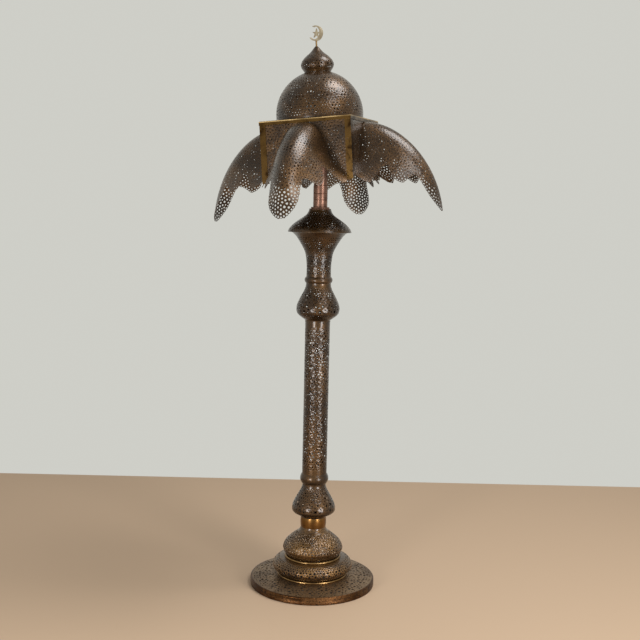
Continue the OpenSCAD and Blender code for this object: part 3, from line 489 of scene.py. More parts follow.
def chasing_marks():
    """Marks of the chasing tools: a fine hammered height over the whole sheet."""
    group, nodes, links = new_group("Chasing marks")
    add_socket(group, "NodeSocketFloat", "Mark size", 300.0)
    add_socket(group, "NodeSocketFloat", "Height", out=True)
    given, put = nodes.new("NodeGroupInput"), nodes.new("NodeGroupOutput")
    place = nodes.new("ShaderNodeTexCoord").outputs["Object"]
    struck = nodes.new("ShaderNodeTexVoronoi")
    struck.feature = "SMOOTH_F1"
    links.new(place, struck.inputs["Vector"])
    links.new(given.outputs["Mark size"], struck.inputs["Scale"])
    wavering = noise_on(nodes, links, place, 160, 2.0)
    height = calculate(nodes, links, "ADD", struck.outputs["Distance"],
                       calculate(nodes, links, "MULTIPLY", wavering, 0.8))
    links.new(height, put.inputs["Height"])
    return group


def browned_brass():
    """Chemical browning of brass: cloudy brown over warm metal, with worn patches and darker specks."""
    group, nodes, links = new_group("Browned brass")
    add_socket(group, "NodeSocketColor", "Brown", (0.1, 0.06, 0.035, 1))
    add_socket(group, "NodeSocketColor", "Warm", (0.4, 0.22, 0.1, 1))
    add_socket(group, "NodeSocketFloat", "Cloud size", 14.0)
    add_socket(group, "NodeSocketFloat", "Wear", 0.5)
    add_socket(group, "NodeSocketColor", "Colour", out=True)
    add_socket(group, "NodeSocketFloat", "Roughness", out=True)
    given, put = nodes.new("NodeGroupInput"), nodes.new("NodeGroupOutput")
    place = nodes.new("ShaderNodeTexCoord").outputs["Object"]
    cloud = nodes.new("ShaderNodeTexNoise")
    cloud.inputs["Detail"].default_value = 4
    cloud.inputs["Distortion"].default_value = 0.6
    links.new(place, cloud.inputs["Vector"])
    links.new(given.outputs["Cloud size"], cloud.inputs["Scale"])
    speck = noise_on(nodes, links, place, 230, 2.0)
    worn = calculate(nodes, links, "ADD", cloud.outputs["Fac"],
                     calculate(nodes, links, "SUBTRACT", given.outputs["Wear"], 0.5))
    worn = calculate(nodes, links, "ADD", worn, stretch(nodes, links, speck, 0.3, 0.7, -0.18, 0.18))
    mask = stretch(nodes, links, worn, 0.36, 0.66)
    links.new(mix_colours(nodes, links, mask, given.outputs["Brown"], given.outputs["Warm"]),
              put.inputs["Colour"])
    links.new(stretch(nodes, links, worn, 0.3, 0.75, 0.62, 0.44), put.inputs["Roughness"])
    return group


chasing_group = chasing_marks()
brown_group = browned_brass()


def brown_finish(name, brown, warm, cloud_size, wear=0.5, lacquer=1.0):
    material, nodes, links = new_material(name)
    shader = finish_of(material)
    metal = use_group(nodes, brown_group, Brown=(*brown, 1), Warm=(*warm, 1),
                      Cloud_size=cloud_size, Wear=wear)
    links.new(metal.outputs["Colour"], shader.inputs["Base Color"])
    links.new(metal.outputs["Roughness"], shader.inputs["Roughness"])
    shader.inputs["Metallic"].default_value = 1.0
    shader.inputs["Coat Weight"].default_value = lacquer
    shader.inputs["Coat Roughness"].default_value = 0.24
    shader.inputs["Coat IOR"].default_value = 1.4
    marks = use_group(nodes, chasing_group, Mark_size=300.0)
    raise_from(nodes, links, shader, marks.outputs["Height"], 0.6, 0.0003)
    return material


def finish_piece(piece, material):
    piece.data.materials.append(material)


base_low, base_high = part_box("base_disc")
base_r, base_top, base_edge_z = base_high.x, base_high.z, 0.0255
base_bead_r, bead_half = 0.116, 0.005
under_bead_r = base_bead_r - 0.008
edge_r = 0.005
plain_edge = (base_r - 0.0078, base_edge_z + 0.0003)
rim_foot = [(base_r, base_low.z), (base_r, base_edge_z - edge_r)]
rolled_edge = [(base_r - edge_r + edge_r * math.cos(a), base_edge_z - edge_r + edge_r * math.sin(a))
               for a in np.radians(range(0, 91, 15))]
base_slope = [rolled_edge[-1], (base_bead_r + bead_half, base_top)]
base_brass = brown_finish("Browned brass of the base", (0.11, 0.066, 0.036), (0.24, 0.150, 0.078), 16.0,
                          lacquer=0.3)
base_flowers = [(0.5, 0.66, 1.2, 6), (0.0, 0.3, 1.2, 6), (0.25, 0.86, 1.1, 5)]


def plain_patches(x, y):
    """Fields between the scrolls that the saw leaves whole."""
    return np.sin(4 * math.pi * x + 1) * np.sin(3 * math.pi * y + 0.6) > 0.3


base_cover = make_piece(
    "base_cover",
    [pierced_band(base_slope, 0.03, 1, 16, 6, flowers=base_flowers, opening=0.47, relief=0.0003,
                  closed=plain_patches, seed=3),
     turned_part([base_slope[0], plain_edge], 128),
     turned_part([base_slope[1], (under_bead_r, base_top)], 128)],
    "stand", "base_brass", "base_disc")
finish_piece(base_cover, base_brass)


def engraved_finish(name, raised, cut, columns):
    """Brass with scrolls cut into it by hand, darkened in the cuts."""
    material, nodes, links = new_material(name)
    shader = finish_of(material)
    place = nodes.new("ShaderNodeTexCoord").outputs["Object"]
    swirl = nodes.new("ShaderNodeTexNoise")
    swirl.inputs["Scale"].default_value = columns
    swirl.inputs["Detail"].default_value = 1.5
    swirl.inputs["Distortion"].default_value = 2.2
    links.new(place, swirl.inputs["Vector"])
    line = calculate(nodes, links, "ABSOLUTE", calculate(nodes, links, "SUBTRACT", swirl.outputs["Fac"], 0.5))
    mask = stretch(nodes, links, line, 0.015, 0.06)
    cloud = stretch(nodes, links, noise_on(nodes, links, place, 18, 3.0), 0.4, 0.62)
    dulled = (raised[0] * 0.5, raised[1] * 0.45, raised[2] * 0.4, 1)
    tone = mix_colours(nodes, links, cloud, (*raised, 1), dulled)
    links.new(mix_colours(nodes, links, mask, (*cut, 1), tone), shader.inputs["Base Color"])
    shader.inputs["Metallic"].default_value = 1.0
    shader.inputs["Roughness"].default_value = 0.36
    raise_from(nodes, links, shader, mask, 0.5, 0.0004)
    return material


rim_cover = make_piece("base_rim_cover", [turned_part(rim_foot + rolled_edge, 128)], "stand", "base_brass")
engraved_brass = engraved_finish("Engraved rim of the base", (0.12, 0.054, 0.020), (0.03, 0.015, 0.008), 55.0)
finish_piece(rim_cover, engraved_brass)


# ---- Bead rings -----------------------------------------------------------------------------------
# Half-round rings turned from solid brass and soldered on, one on the base disc and one at the foot of
# the bell. They are left bright.

def tarnished_metal():
    """Polished metal that the air has dulled in clouds: its colour, its roughness and its fine grain."""
    group, nodes, links = new_group("Tarnished metal")
    add_socket(group, "NodeSocketColor", "Metal", (0.30, 0.185, 0.075, 1))
    add_socket(group, "NodeSocketColor", "Tarnish", (0.14, 0.082, 0.034, 1))
    add_socket(group, "NodeSocketFloat", "Polished roughness", 0.26)
    add_socket(group, "NodeSocketColor", "Colour", out=True)
    add_socket(group, "NodeSocketFloat", "Roughness", out=True)
    add_socket(group, "NodeSocketFloat", "Height", out=True)
    given, put = nodes.new("NodeGroupInput"), nodes.new("NodeGroupOutput")
    place = nodes.new("ShaderNodeTexCoord").outputs["Object"]
    cloud = stretch(nodes, links, noise_on(nodes, links, place, 38, 4.0, 0.5), 0.42, 0.68)
    links.new(mix_colours(nodes, links, cloud, given.outputs["Metal"], given.outputs["Tarnish"]),
              put.inputs["Colour"])
    dulling = calculate(nodes, links, "MULTIPLY", cloud, 0.14)
    links.new(calculate(nodes, links, "ADD", given.outputs["Polished roughness"], dulling),
              put.inputs["Roughness"])
    links.new(noise_on(nodes, links, place, 420, 2.0), put.inputs["Height"])
    return group


tarnish_group = tarnished_metal()


def bright_finish(name, metal, tarnish, roughness):
    material, nodes, links = new_material(name)
    shader = finish_of(material)
    surface = use_group(nodes, tarnish_group, Metal=(*metal, 1), Tarnish=(*tarnish, 1),
                        Polished_roughness=roughness)
    links.new(surface.outputs["Colour"], shader.inputs["Base Color"])
    links.new(surface.outputs["Roughness"], shader.inputs["Roughness"])
    shader.inputs["Metallic"].default_value = 1.0
    raise_from(nodes, links, shader, surface.outputs["Height"], 0.25, 0.0002)
    return material


bright_brass = bright_finish("Bright brass", (0.30, 0.185, 0.075), (0.14, 0.082, 0.034), 0.26)
dress(bright_brass, "base_bead", "step_bead")


# ---- Step ring ------------------------------------------------------------------------------------
# The second step of the base, pressed from brass sheet: a hollow foot left warm, a bulging band of
# close fretwork, and a flat shoulder under the bell.

def catmull(a, b, c, d, t):
    return 0.5 * (2 * b + (c - a) * t + (2 * a - 5 * b + 4 * c - d) * t * t
                  + (3 * b - a - 3 * c + d) * t ** 3)


def eased_outline(keys, steps=6):
    keys = np.array(keys, float)
    last = len(keys) - 1
    line = [catmull(keys[max(i - 1, 0)], keys[i], keys[i + 1], keys[min(i + 2, last)], j / steps)
            for i in range(last) for j in range(steps)]
    return np.array(line + [keys[last]])


def piece_of_outline(line, low, high, steps=14):
    """The stretch of an outline between two levels of height."""
    run = np.linspace(low, high, steps)
    return [(np.interp(z, line[:, 1], line[:, 0]), z) for z in run]


def share_of_height(line, level):
    """Where a level lies on the outline, as a share of its pattern height."""
    run = np.hypot(*np.diff(line, axis=0).T) * 2 / (line[1:, 0] + line[:-1, 0])
    height = np.r_[0, np.cumsum(run)]
    return np.interp(level, line[:, 1], height) / height[-1]


dark_brass = brown_finish("Dark browned brass", (0.025, 0.0112, 0.0028), (0.082, 0.039, 0.0105), 12.0)
step_low, step_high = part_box("step_ring")
step_r, step_foot_r, step_shoulder_r, step_top_r = step_high.x, 0.110, 0.097, 0.086
step_keys = [(step_foot_r, 0), (step_foot_r + 0.0008, 0.06), (step_foot_r + 0.0035, 0.13),
             (step_r - 0.011, 0.24), (step_r - 0.0025, 0.39), (step_r, 0.54), (step_r - 0.0025, 0.7),
             (step_r - 0.011, 0.86), (step_r - 0.022, 0.955), (step_r - 0.032, 0.995)]
step_line = eased_outline([(r, step_low.z + (step_high.z - step_low.z) * k) for r, k in step_keys])
step_band = (step_low.z + 0.0125, step_low.z + 0.0565)
step_shares = [share_of_height(step_line, level) for level in step_band]
step_cover = make_piece(
    "step_cover",
    [pierced_band(step_line, *step_shares, 18, 5, opening=0.54, relief=0.0004,
                  flowers=[(0.5, 0.42, 1.15, 5)], seed=5),
     turned_part(piece_of_outline(step_line, step_band[1], step_line[-1][1])
                 + [(step_shoulder_r, step_high.z), (step_top_r, step_high.z)], 128)],
    "stand", "pierced_brass", "step_ring")
warm_brass = brown_finish("Warm browned brass", (0.060, 0.029, 0.009), (0.185, 0.096, 0.029), 14.0)
finish_piece(step_cover, warm_brass)
rubbed_brass = bright_finish("Rubbed brass of the feet", (0.26, 0.150, 0.055), (0.12, 0.066, 0.024), 0.34)
step_foot_cover = make_piece(
    "step_foot_cover", [turned_part(piece_of_outline(step_line, step_low.z, step_band[0]), 128)],
    "stand", "pierced_brass")
finish_piece(step_foot_cover, rubbed_brass)


# ---- Bell -----------------------------------------------------------------------------------------
# A bell pressed from brass sheet: its skirt is pierced in close rows, its shoulder in flowers, and a
# plain fillet runs between them. The throat is left plain under the collar.

bell_low, bell_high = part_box("bell")
bell_r, bell_foot_r, neck_r = bell_high.x, 0.085, 0.042
bell_h = bell_high.z - bell_low.z
bell_shoulder = [(0, 0), (0.05, 0.06), (0.11, 0.38), (0.19, 0.78), (0.27, 0.96), (0.34, 1)]
bell_throat = [(0.51, 0.86), (0.68, 0.54), (0.84, 0.17), (0.93, 0.04), (1, 0)]
bell_line = eased_outline(
    [(bell_foot_r + (bell_r - bell_foot_r) * k, bell_low.z + bell_h * z) for z, k in bell_shoulder]
    + [(neck_r + (bell_r - neck_r) * k, bell_low.z + bell_h * z) for z, k in bell_throat])


def levels(line, *shares):
    foot, top = line[0][1], line[-1][1]
    return [foot + (top - foot) * share for share in shares]


def shell_piece(name, node, line, bands, body="stand", slot="pierced_brass", lay_on=None, lining=False,
                ends=(0.0, 1.0), extra=(), steps=96):
    """A spun shell of pierced bands, with plain metal between them.

    A band is given as the shares of the shell's height where it starts and ends, the gores that repeat
    round the shell, the holes across each gore, and the look of its pattern.
    """
    parts, at = [], ends[0]
    for low, high, gores, columns, look in bands:
        foot, top = levels(line, low, high)
        if low > at:
            plain_foot = levels(line, at)[0]
            parts.append(turned_part(piece_of_outline(line, plain_foot, foot), steps, lay_on))
        parts.append(pierced_band(line, share_of_height(line, foot), share_of_height(line, top), gores,
                                  columns, lay_on, lining, **look))
        at = high
    if at < ends[1]:
        foot, top = levels(line, at, ends[1])
        parts.append(turned_part(piece_of_outline(line, foot, top), steps, lay_on))
    return make_piece(name, parts + list(extra), body, slot, node)


def closed_edges(width):
    """Straps left whole at the two sides of a gore."""
    return lambda x, y: np.minimum(x, 1 - x) < width


bell_plain_foot = 0.07
bell_flowers = [(0.5, 0.3, 1.2, 6), (0.0, 0.62, 1.1, 5)]
bell_cover = shell_piece("bell_cover", "bell", bell_line, [
    (bell_plain_foot, 0.26, 14, 5, dict(opening=0.54, relief=0.0004, seed=8)),
    (0.29, 0.84, 10, 6, dict(opening=0.55, relief=0.0004, flowers=bell_flowers, seed=9))],
    ends=(bell_plain_foot, 1.0))
finish_piece(bell_cover, warm_brass)
bell_foot_cover = make_piece(
    "bell_foot_cover", [turned_part(piece_of_outline(bell_line, *levels(bell_line, 0, bell_plain_foot)))],
    "stand", "pierced_brass")
finish_piece(bell_foot_cover, rubbed_brass)


# ---- Neck collar and turned rings -----------------------------------------------------------------
# Rings turned from solid brass that locate one shell on the next: the bright collar on the bell, the
# flared ring under the pole, and the ring over the upper pear.

dress(bright_finish("Turned brass collar", (0.22, 0.112, 0.034), (0.10, 0.048, 0.015), 0.2), "neck_collar")
dress(dark_brass, "pole_foot_ring", "upper_ring", "pole_disc_upper")


# ---- Pears ----------------------------------------------------------------------------------------
# Two pear-shaped shells of brass sheet, one under the pole and one over it. Each is pierced in tall
# gores with a strap between them, and a trefoil of larger holes sits on the belly of every gore.

pear_belly = [(0, 0), (0.11, 0.03), (0.29, 0.34), (0.5, 0.7), (0.71, 0.92), (1, 1)]
pear_shoulder = [(0.16, 0.95), (0.362, 0.71), (0.572, 0.4), (0.783, 0.1), (0.913, 0.01), (1, 0)]


def pear_line(node, foot_r, top_r, belly):
    low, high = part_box(node)
    belly_r, foot, rise = high.x, low.z, high.z - low.z
    return eased_outline([(foot_r + (belly_r - foot_r) * k, foot + rise * belly * z) for z, k in pear_belly]
                         + [(top_r + (belly_r - top_r) * k, foot + rise * (belly + (1 - belly) * z))
                            for z, k in pear_shoulder])


pear_look = dict(opening=0.44, relief=0.0004, flowers=[(0.5, 0.2, 1.15, 3), (0.5, 0.62, 1.2, 6)])
pole_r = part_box("pole_tube")[1].x
pears = (("lower_pear", neck_r, 0.0394, 0.24), ("upper_pear", pole_r + 0.0007, pole_r, 0.31))
for pear, foot_r, top_r, belly in pears:
    pear_cover = shell_piece(pear + "_cover", pear, pear_line(pear, foot_r, top_r, belly), [
        (0.06, 0.2, 16, 3, dict(opening=0.44, seed=12)),
        (0.22, 0.9, 8, 5, dict(pear_look, closed=closed_edges(0.08), seed=13))])
    finish_piece(pear_cover, dark_brass)


# ---- Pole -----------------------------------------------------------------------------------------
# A tube rolled from brass sheet and seamed at the back, pierced from end to end. Lozenge medallions of
# close trellis stand in the field of small scrolls and flowers, with plain bands at the two ends.

pole_low, pole_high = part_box("pole_tube")
pole_line = np.array([(pole_r, pole_low.z), (pole_r, pole_high.z)])


def medallion(centre, half_height):
    """Outline of a lozenge, and the last row under the lipped disc, left whole in the fretwork."""
    half_width, inner, outer, last_row = 0.42, 0.86, 1.08, 0.985

    def left_whole(x, y):
        reach = np.abs(x - 0.5) / half_width + np.abs(y - centre) / half_height
        return ((reach > inner) & (reach < outer)) | (y > last_row)
    return left_whole


pole_flowers = [(0.5, 0.06 + 0.088 * i, 1.2, 6) for i in range(11) if not 4 <= i <= 6]
pole_flowers += [(0.0, 0.104 + 0.088 * i, 1.1, 5) for i in range(10)]
pole_look = dict(opening=0.39, relief=0.0004, flowers=pole_flowers, seed=21,
                 closed=medallion(centre=0.5, half_height=0.11))
pole_cover = shell_piece("pole_cover", "pole_tube", pole_line, [(0.03, 0.97, 4, 7, pole_look)], steps=64)
finish_piece(pole_cover, dark_brass)


# ---- Trumpet and cap ------------------------------------------------------------------------------
# A shell that flares up to a lip, and a domed cap spun with a flange that sits on that lip. Both are
# pierced brass sheet, browned, with plain rims.

trumpet_low, trumpet_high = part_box("trumpet")
trumpet_neck_r, trumpet_lip_r = 0.0402, trumpet_high.x
trumpet_flare = [(0, 0.01), (0.16, 0), (0.28, 0.01), (0.42, 0.05), (0.555, 0.13), (0.69, 0.31), (0.82, 0.53),
                 (0.89, 0.66), (0.945, 0.8), (0.985, 0.93), (1, 1)]
trumpet_flare_r, trumpet_h = trumpet_lip_r - trumpet_neck_r, trumpet_high.z - trumpet_low.z
trumpet_line = eased_outline([(trumpet_neck_r + trumpet_flare_r * k, trumpet_low.z + trumpet_h * z)
                              for z, k in trumpet_flare])
trumpet_cover = shell_piece("trumpet_cover", "trumpet", trumpet_line, [
    (0.05, 0.5, 4, 7, dict(opening=0.46, flowers=[(0.5, 0.3, 1.15, 5), (0.0, 0.75, 1.15, 5)], seed=31)),
    (0.52, 0.9, 8, 6, dict(opening=0.44, flowers=[(0.5, 0.5, 1.2, 6)], seed=32))])
finish_piece(trumpet_cover, dark_brass)

cap_low, cap_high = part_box("cap")
cap_r, cap_top_r = cap_high.x, 0.036
cap_slope = [(0, 1), (0.03, 0.995), (0.13, 0.955), (0.265, 0.84), (0.4, 0.68), (0.54, 0.475), (0.67, 0.265),
             (0.79, 0.11), (0.91, 0.03), (1, 0)]
cap_line = eased_outline([(cap_top_r + (cap_r - cap_top_r) * k, cap_low.z + (cap_high.z - cap_low.z) * z)
                          for z, k in cap_slope])
cap_cover = shell_piece("cap_cover", "cap", cap_line, [
    (0.07, 0.5, 12, 5, dict(opening=0.36, flowers=[(0.5, 0.5, 1.15, 5)], seed=34)),
    (0.52, 0.9, 8, 5, dict(opening=0.34, seed=35))],
    extra=[turned_part([(trumpet_lip_r - 0.003, cap_low.z), (cap_r, cap_low.z)], 96)])
finish_piece(cap_cover, dark_brass)


# ---- Stem -----------------------------------------------------------------------------------------
# Four sleeves of copper tube over the clamping tube, with a groove at each joint, on a turned copper
# collar. A copper ball on top lets the lantern be set upright.

copper = bright_finish("Copper", (0.26, 0.142, 0.102), (0.12, 0.063, 0.045), 0.34)
dress(copper, "stem_collar", "stem_sleeve_low", "stem_sleeve_mid", "stem_sleeve_ring", "stem_sleeve_top",
      "ball_seat", "screw_shell", "centre_contact")
dress(bright_brass, "rod_nuts", "rod_washers", "rod_coupling", "holder_cap", "holder_shell")


# ---- Cord bush, lampholder and bulb ---------------------------------------------------------------
# A black bush for the mains cord at the back of the base. A brass E27 lampholder with a porcelain core
# and a black turn key stands on the bent nipple and holds a clear bulb, which is not lit.

black_plastic = plain_finish("Black plastic", (0.02, 0.02, 0.02), 0.0, 0.45)
porcelain = plain_finish("Porcelain", (0.85, 0.83, 0.78), 0.0, 0.2)
dress(black_plastic, "cord_bush", "switch_key")
dress(porcelain, "holder_core")
dress(plated_steel, "bulb_cap")
bulb_glass = plain_finish("Bulb glass", (1.0, 1.0, 1.0), 0.0, 0.03)
finish_of(bulb_glass).inputs["Transmission Weight"].default_value = 1.0
dress(bulb_glass, "bulb_glass")
dress(plain_finish("Tungsten wire", (0.2, 0.19, 0.18), 1.0, 0.4), "bulb_filament")


# ---- Spider, corner strips and top frame ----------------------------------------------------------
# Strip brass cut, bent and riveted into the frame of the lantern's box. The four-armed spider that
# carries it is plain; the corner strips and the top band are polished and lacquered.

dress(dark_brass, "spider", "spider_rivets")
lacquered_brass = bright_finish("Lacquered brass strip", (0.10, 0.055, 0.017), (0.020, 0.010, 0.0035), 0.26)
dress(lacquered_brass, "corner_strips")


def paint_edge_highlight(material, pivot, upward, level, width):
    """A painted highlight along the upper edge of a leaning band: pale brass mixed into its colour, fading in
    and out along the band.
    """
    shader = finish_of(material)
    nodes, links = material.node_tree.nodes, material.node_tree.links
    place = nodes.new("ShaderNodeTexCoord").outputs["Object"]
    offset = nodes.new("ShaderNodeVectorMath")
    offset.operation = "SUBTRACT"
    offset.inputs[1].default_value = pivot
    links.new(place, offset.inputs[0])
    height = nodes.new("ShaderNodeVectorMath")
    height.operation = "DOT_PRODUCT"
    height.inputs[1].default_value = upward
    links.new(offset.outputs["Vector"], height.inputs[0])
    # Painted highlight: a pale brass line in the base colour along the band's upper edge, where a light would
    # glint.
    edge = stretch(nodes, links, height.outputs["Value"], level - width, level - width * 0.6)
    highlight_fade = stretch(nodes, links, noise_on(nodes, links, place, 9, 1.0), 0.38, 0.55, 0.25, 1.0)
    painted_highlight = calculate(nodes, links, "MULTIPLY", edge, highlight_fade)
    under = shader.inputs["Base Color"].links[0].from_socket
    links.new(mix_colours(nodes, links, painted_highlight, under, (0.62, 0.43, 0.20, 1)), shader.inputs["Base Color"])


swivel = Vector((0, 0, 1.4498))
lean_by, lean_towards = math.radians(4), math.radians(199)
lantern_up = (math.sin(lean_by) * math.cos(lean_towards), math.sin(lean_by) * math.sin(lean_towards),
              math.cos(lean_by))
band_top, highlight_width = 0.095, 0.0034
band_brass = bright_finish("Lacquered brass band", (0.11, 0.060, 0.018), (0.025, 0.013, 0.004), 0.26)
# The top band gets a painted highlight along its upper edge.
paint_edge_highlight(band_brass, swivel, lantern_up, band_top, highlight_width)
dress(band_brass, "top_frame")


# ---- Face panels ----------------------------------------------------------------------------------
# Four square faces of thin brass sheet soldered behind the strips. Each is cut out to an arch under its
# leaf, and the corners left over it are pierced and browned.

lean_axis = Vector((-math.sin(lean_towards), math.cos(lean_towards), 0))
lean_turn = np.array(Matrix.Rotation(lean_by, 3, lean_axis))


def lean(points, quarter=0):
    """Sets upright points of the lantern at its lean, after so many quarter turns about its post."""
    turn = np.array(Matrix.Rotation(quarter * math.pi / 2, 3, "Z"))
    return (points @ turn.T - swivel) @ lean_turn.T + swivel


box_foot, box_top = 1.3508, 1.5448
panel_face, panel_half, panel_hole_gap = 0.1496, 0.1476, 0.0092
leaf_face, leaf_drop, arch_lap = 0.1499, 0.0123, 0.0025
shortest_side = 0.0002
leaf_widths = ((0, 20, 46, 62, 75, 90), (0.1296, 0.1296, 0.129, 0.090, 0.056, 0.04386))
leaf_depths = ((0, 20, 46, 62, 75, 90), (0.168, 0.17102, 0.150, 0.082, 0.028, 0.01005))
leaf_blends = ((0, 8, 46, 90), (0, 0, 0.75, 1))


def bow(a, b, c, t):
    t = t[..., None]
    return (1 - t) ** 2 * np.array(a) + 2 * t * (1 - t) * np.array(b) + t * t * np.array(c)


def bell_arch(q):
    near = bow((0, 0), (0.40, 0), (0.49, 0.42), q / 0.45)
    far = bow((0.49, 0.42), (0.56, 0.75), (1, 1), (q - 0.45) / 0.55)
    return np.where((q < 0.45)[..., None], near, far)


def eased_lookup(table, f):
    return sum(np.interp(np.clip(f + step, 0, 90), *table) for step in (-8, -4, 0, 4, 8)) / 5


def leaf_section(f, q):
    """Half width and depth of a leaf's cross section, at a share q from its ridge."""
    mix = eased_lookup(leaf_blends, f)[..., None]
    share = bell_arch(q) * (1 - mix) + np.stack([q, q ** 1.5], -1) * mix
    return share * np.stack([eased_lookup(leaf_widths, f), eased_lookup(leaf_depths, f)], -1)


def paired_border(spots, pitch, scallop=False):
    """Seeds inside and outside a border that runs anticlockwise, so that the cells end on it."""
    run = np.r_[0, np.cumsum(np.hypot(*np.diff(spots, axis=0).T))]
    at, inside, outside = pitch(spots[:1])[0] / 2, [], []
    while at < run[-1]:
        spot = np.array([np.interp(at, run, spots[:, i]) for i in (0, 1)])
        ahead = np.array([np.interp(at + 1e-4, run, spots[:, i]) for i in (0, 1)]) - spot
        ahead /= np.hypot(*ahead)
        out = np.array([ahead[1], -ahead[0]])
        half = pitch(spot[None])[0] / 2
        inside.append(spot - out * half)
        for turn in (-0.9, 0, 0.9) if scallop else (0,):
            beyond = out * math.cos(turn) + ahead * math.sin(turn)
            outside.append(inside[-1] + beyond * 2 * half)
        at += half * 2 * (0.95 if scallop else 1)
    return np.array(inside), np.array(outside)


def scatter(border, fixed, pitch, chance, tries):
    """Seeds thrown at random inside a border, none much closer than the pitch to another."""
    closest = 0.84
    low, high = border.min(0), border.max(0)
    thrown = low + chance.rand(tries, 2) * (high - low)
    nxt = np.roll(border, -1, axis=0)
    inside = np.zeros(tries, bool)
    for (x0, y0), (x1, y1) in zip(border, nxt):
        if y0 != y1:
            crosses = (thrown[:, 1] > min(y0, y1)) & (thrown[:, 1] <= max(y0, y1))
            inside ^= crosses & (thrown[:, 0] < x0 + (thrown[:, 1] - y0) * (x1 - x0) / (y1 - y0))
    thrown = thrown[inside]
    apart = pitch(thrown) * closest
    cell = float(apart.max())
    taken, kept = {}, []
    for spot in fixed:
        taken.setdefault((int(spot[0] // cell), int(spot[1] // cell)), []).append((spot[0], spot[1]))
    for (x, y), gap in zip(thrown.tolist(), apart.tolist()):
        i, j = int(x // cell), int(y // cell)
        around = [(a, b) for a in (i - 1, i, i + 1) for b in (j - 1, j, j + 1)]
        near = (other for square in around for other in taken.get(square, ()))
        if all((x - u) ** 2 + (y - v) ** 2 > gap * gap for u, v in near):
            taken.setdefault((i, j), []).append((x, y))
            kept.append((x, y))
    return np.array(kept)


def settled(loose, held, outside, rounds=3):
    """Moves the loose seeds to the middles of their cells, so that the holes come out even."""
    for _ in range(rounds):
        owner, place = voronoi_rings(np.concatenate([loose, held, outside]), len(loose))
        sides = np.maximum(np.bincount(owner, minlength=len(loose)), 1)
        middle = np.stack([np.bincount(owner, place[:, i], len(loose)) for i in (0, 1)], 1) / sides[:, None]
        near = np.hypot(*(middle - loose).T) < 0.01
        loose = np.where(near[:, None], middle, loose)
    return loose


def with_flowers(spots, flowers, pitch):
    """Clears the seeds round each flower's middle and sets a dot and a ring of petals there."""
    flower_r, petal_r, petals_at = 1.75, 1.2, []
    for x, y, petals in flowers:
        gap = float(pitch(np.array([[x, y]]))[0])
        spots = spots[np.hypot(*(spots - (x, y)).T) > flower_r * gap]
        turn = 2 * math.pi * (np.arange(petals) + 0.5) / petals
        ring = (x, y) + petal_r * gap * np.stack([np.sin(turn), np.cos(turn)], 1)
        petals_at += [(x, y)] + list(ring)
    return np.concatenate([spots, petals_at]), len(petals_at)


arch_q = np.linspace(1, -1, 81)
arch_share = leaf_section(np.zeros_like(arch_q), np.abs(arch_q))
arch_inset = arch_lap * np.minimum(1, np.abs(arch_q) * 10)
arch_side = np.sign(arch_q) * np.maximum(arch_share[:, 0] - arch_inset, 0)
arch = np.stack([arch_side, box_top - leaf_drop - arch_lap - arch_share[:, 1]], 1)
panel_right = [(panel_half, box_foot), (panel_half, box_top)]
panel_left = [(-panel_half, box_top), (-panel_half, box_foot)]
arch_right, arch_left = (arch[0][0], box_foot), (arch[-1][0], box_foot)
panel_border = np.array([arch_right] + panel_right + panel_left + [arch_left]
                        + [tuple(spot) for spot in arch[::-1]])


def panel_pitch(spots):
    return np.full(len(spots), panel_hole_gap)


def along(a, b, count=40):
    return np.linspace(a, b, count)


panel_rims = [paired_border(line, panel_pitch) for line in (
    along(arch_right, panel_right[0], 4), along(*panel_right), along(panel_right[1], panel_left[0]),
    along(*panel_left), along(panel_left[1], arch_left, 4),
    np.concatenate([[arch_left], arch[::-1], [arch_right]]))]
panel_held = np.concatenate([rim[0] for rim in panel_rims if len(rim[0])])
panel_beyond = np.concatenate([rim[1] for rim in panel_rims if len(rim[1])])
panel_loose = scatter(panel_border, panel_held, panel_pitch, np.random.RandomState(41), tries=40000)
panel_loose = settled(panel_loose, panel_held, panel_beyond)
panel_flowers = [(side * x, z, 6) for side in (1, -1)
                 for x, z in ((0.112, 1.488), (0.130, 1.44), (0.085, 1.515))]
panel_loose = with_flowers(panel_loose, panel_flowers, panel_pitch)[0]
panel_seeds = np.concatenate([panel_loose, panel_held])
panel_owner, panel_place = voronoi_rings(np.concatenate([panel_seeds, panel_beyond]), len(panel_seeds))
panel_owner, panel_place = without_short_sides(panel_owner, panel_place, shortest_side)
panel_opening, panel_rim_opening = 0.36, 0.30
panel_open = np.r_[np.full(len(panel_loose), panel_opening), np.full(len(panel_held), panel_rim_opening)]
panel_open *= 0.85 + 0.3 * np.random.RandomState(42).rand(len(panel_open))


def upright_face(spot, depth):
    return np.stack([np.full(len(spot), panel_face - depth), spot[:, 0], spot[:, 1]], 1)


panel = pierced_sheet(panel_owner, panel_place, panel_open, sawn_roundness, upright_face, lining=True)
panel_parts = [dict(panel, points=lean(panel["points"], quarter)) for quarter in range(4)]
panels_cover = make_piece("face_panels_cover", panel_parts, "lantern", "leaf_brass", "face_panels")
finish_piece(panels_cover, dark_brass)


# ---- Leaves ---------------------------------------------------------------------------------------
# Four drooping hoods beaten from brass sheet over a form, one soldered over the arch of each face. The
# holes are small and close at the root, and open out to a lace of thin bars along the scalloped edge.

leaf_reach, leaf_fall, leaf_bend = 0.243, 0.295, 1.11
leaf_end, tip_start, side_lead = 89.5, 69, 14


def leaf_ridge(f):
    """How far out and how far down the ridge is, f degrees along it."""
    f = np.radians(f)
    out, down = leaf_reach * np.sin(f) ** leaf_bend, leaf_fall * (1 - np.cos(f) ** leaf_bend)
    return np.stack([out, leaf_drop + down], -1)


def soft_min(a, b):
    low = np.minimum(a, b) <= 0
    a, b = np.maximum(a, 1e-9), np.maximum(b, 1e-9)
    return np.where(low, 0, a * b / (a ** 8 + b ** 8) ** 0.125)


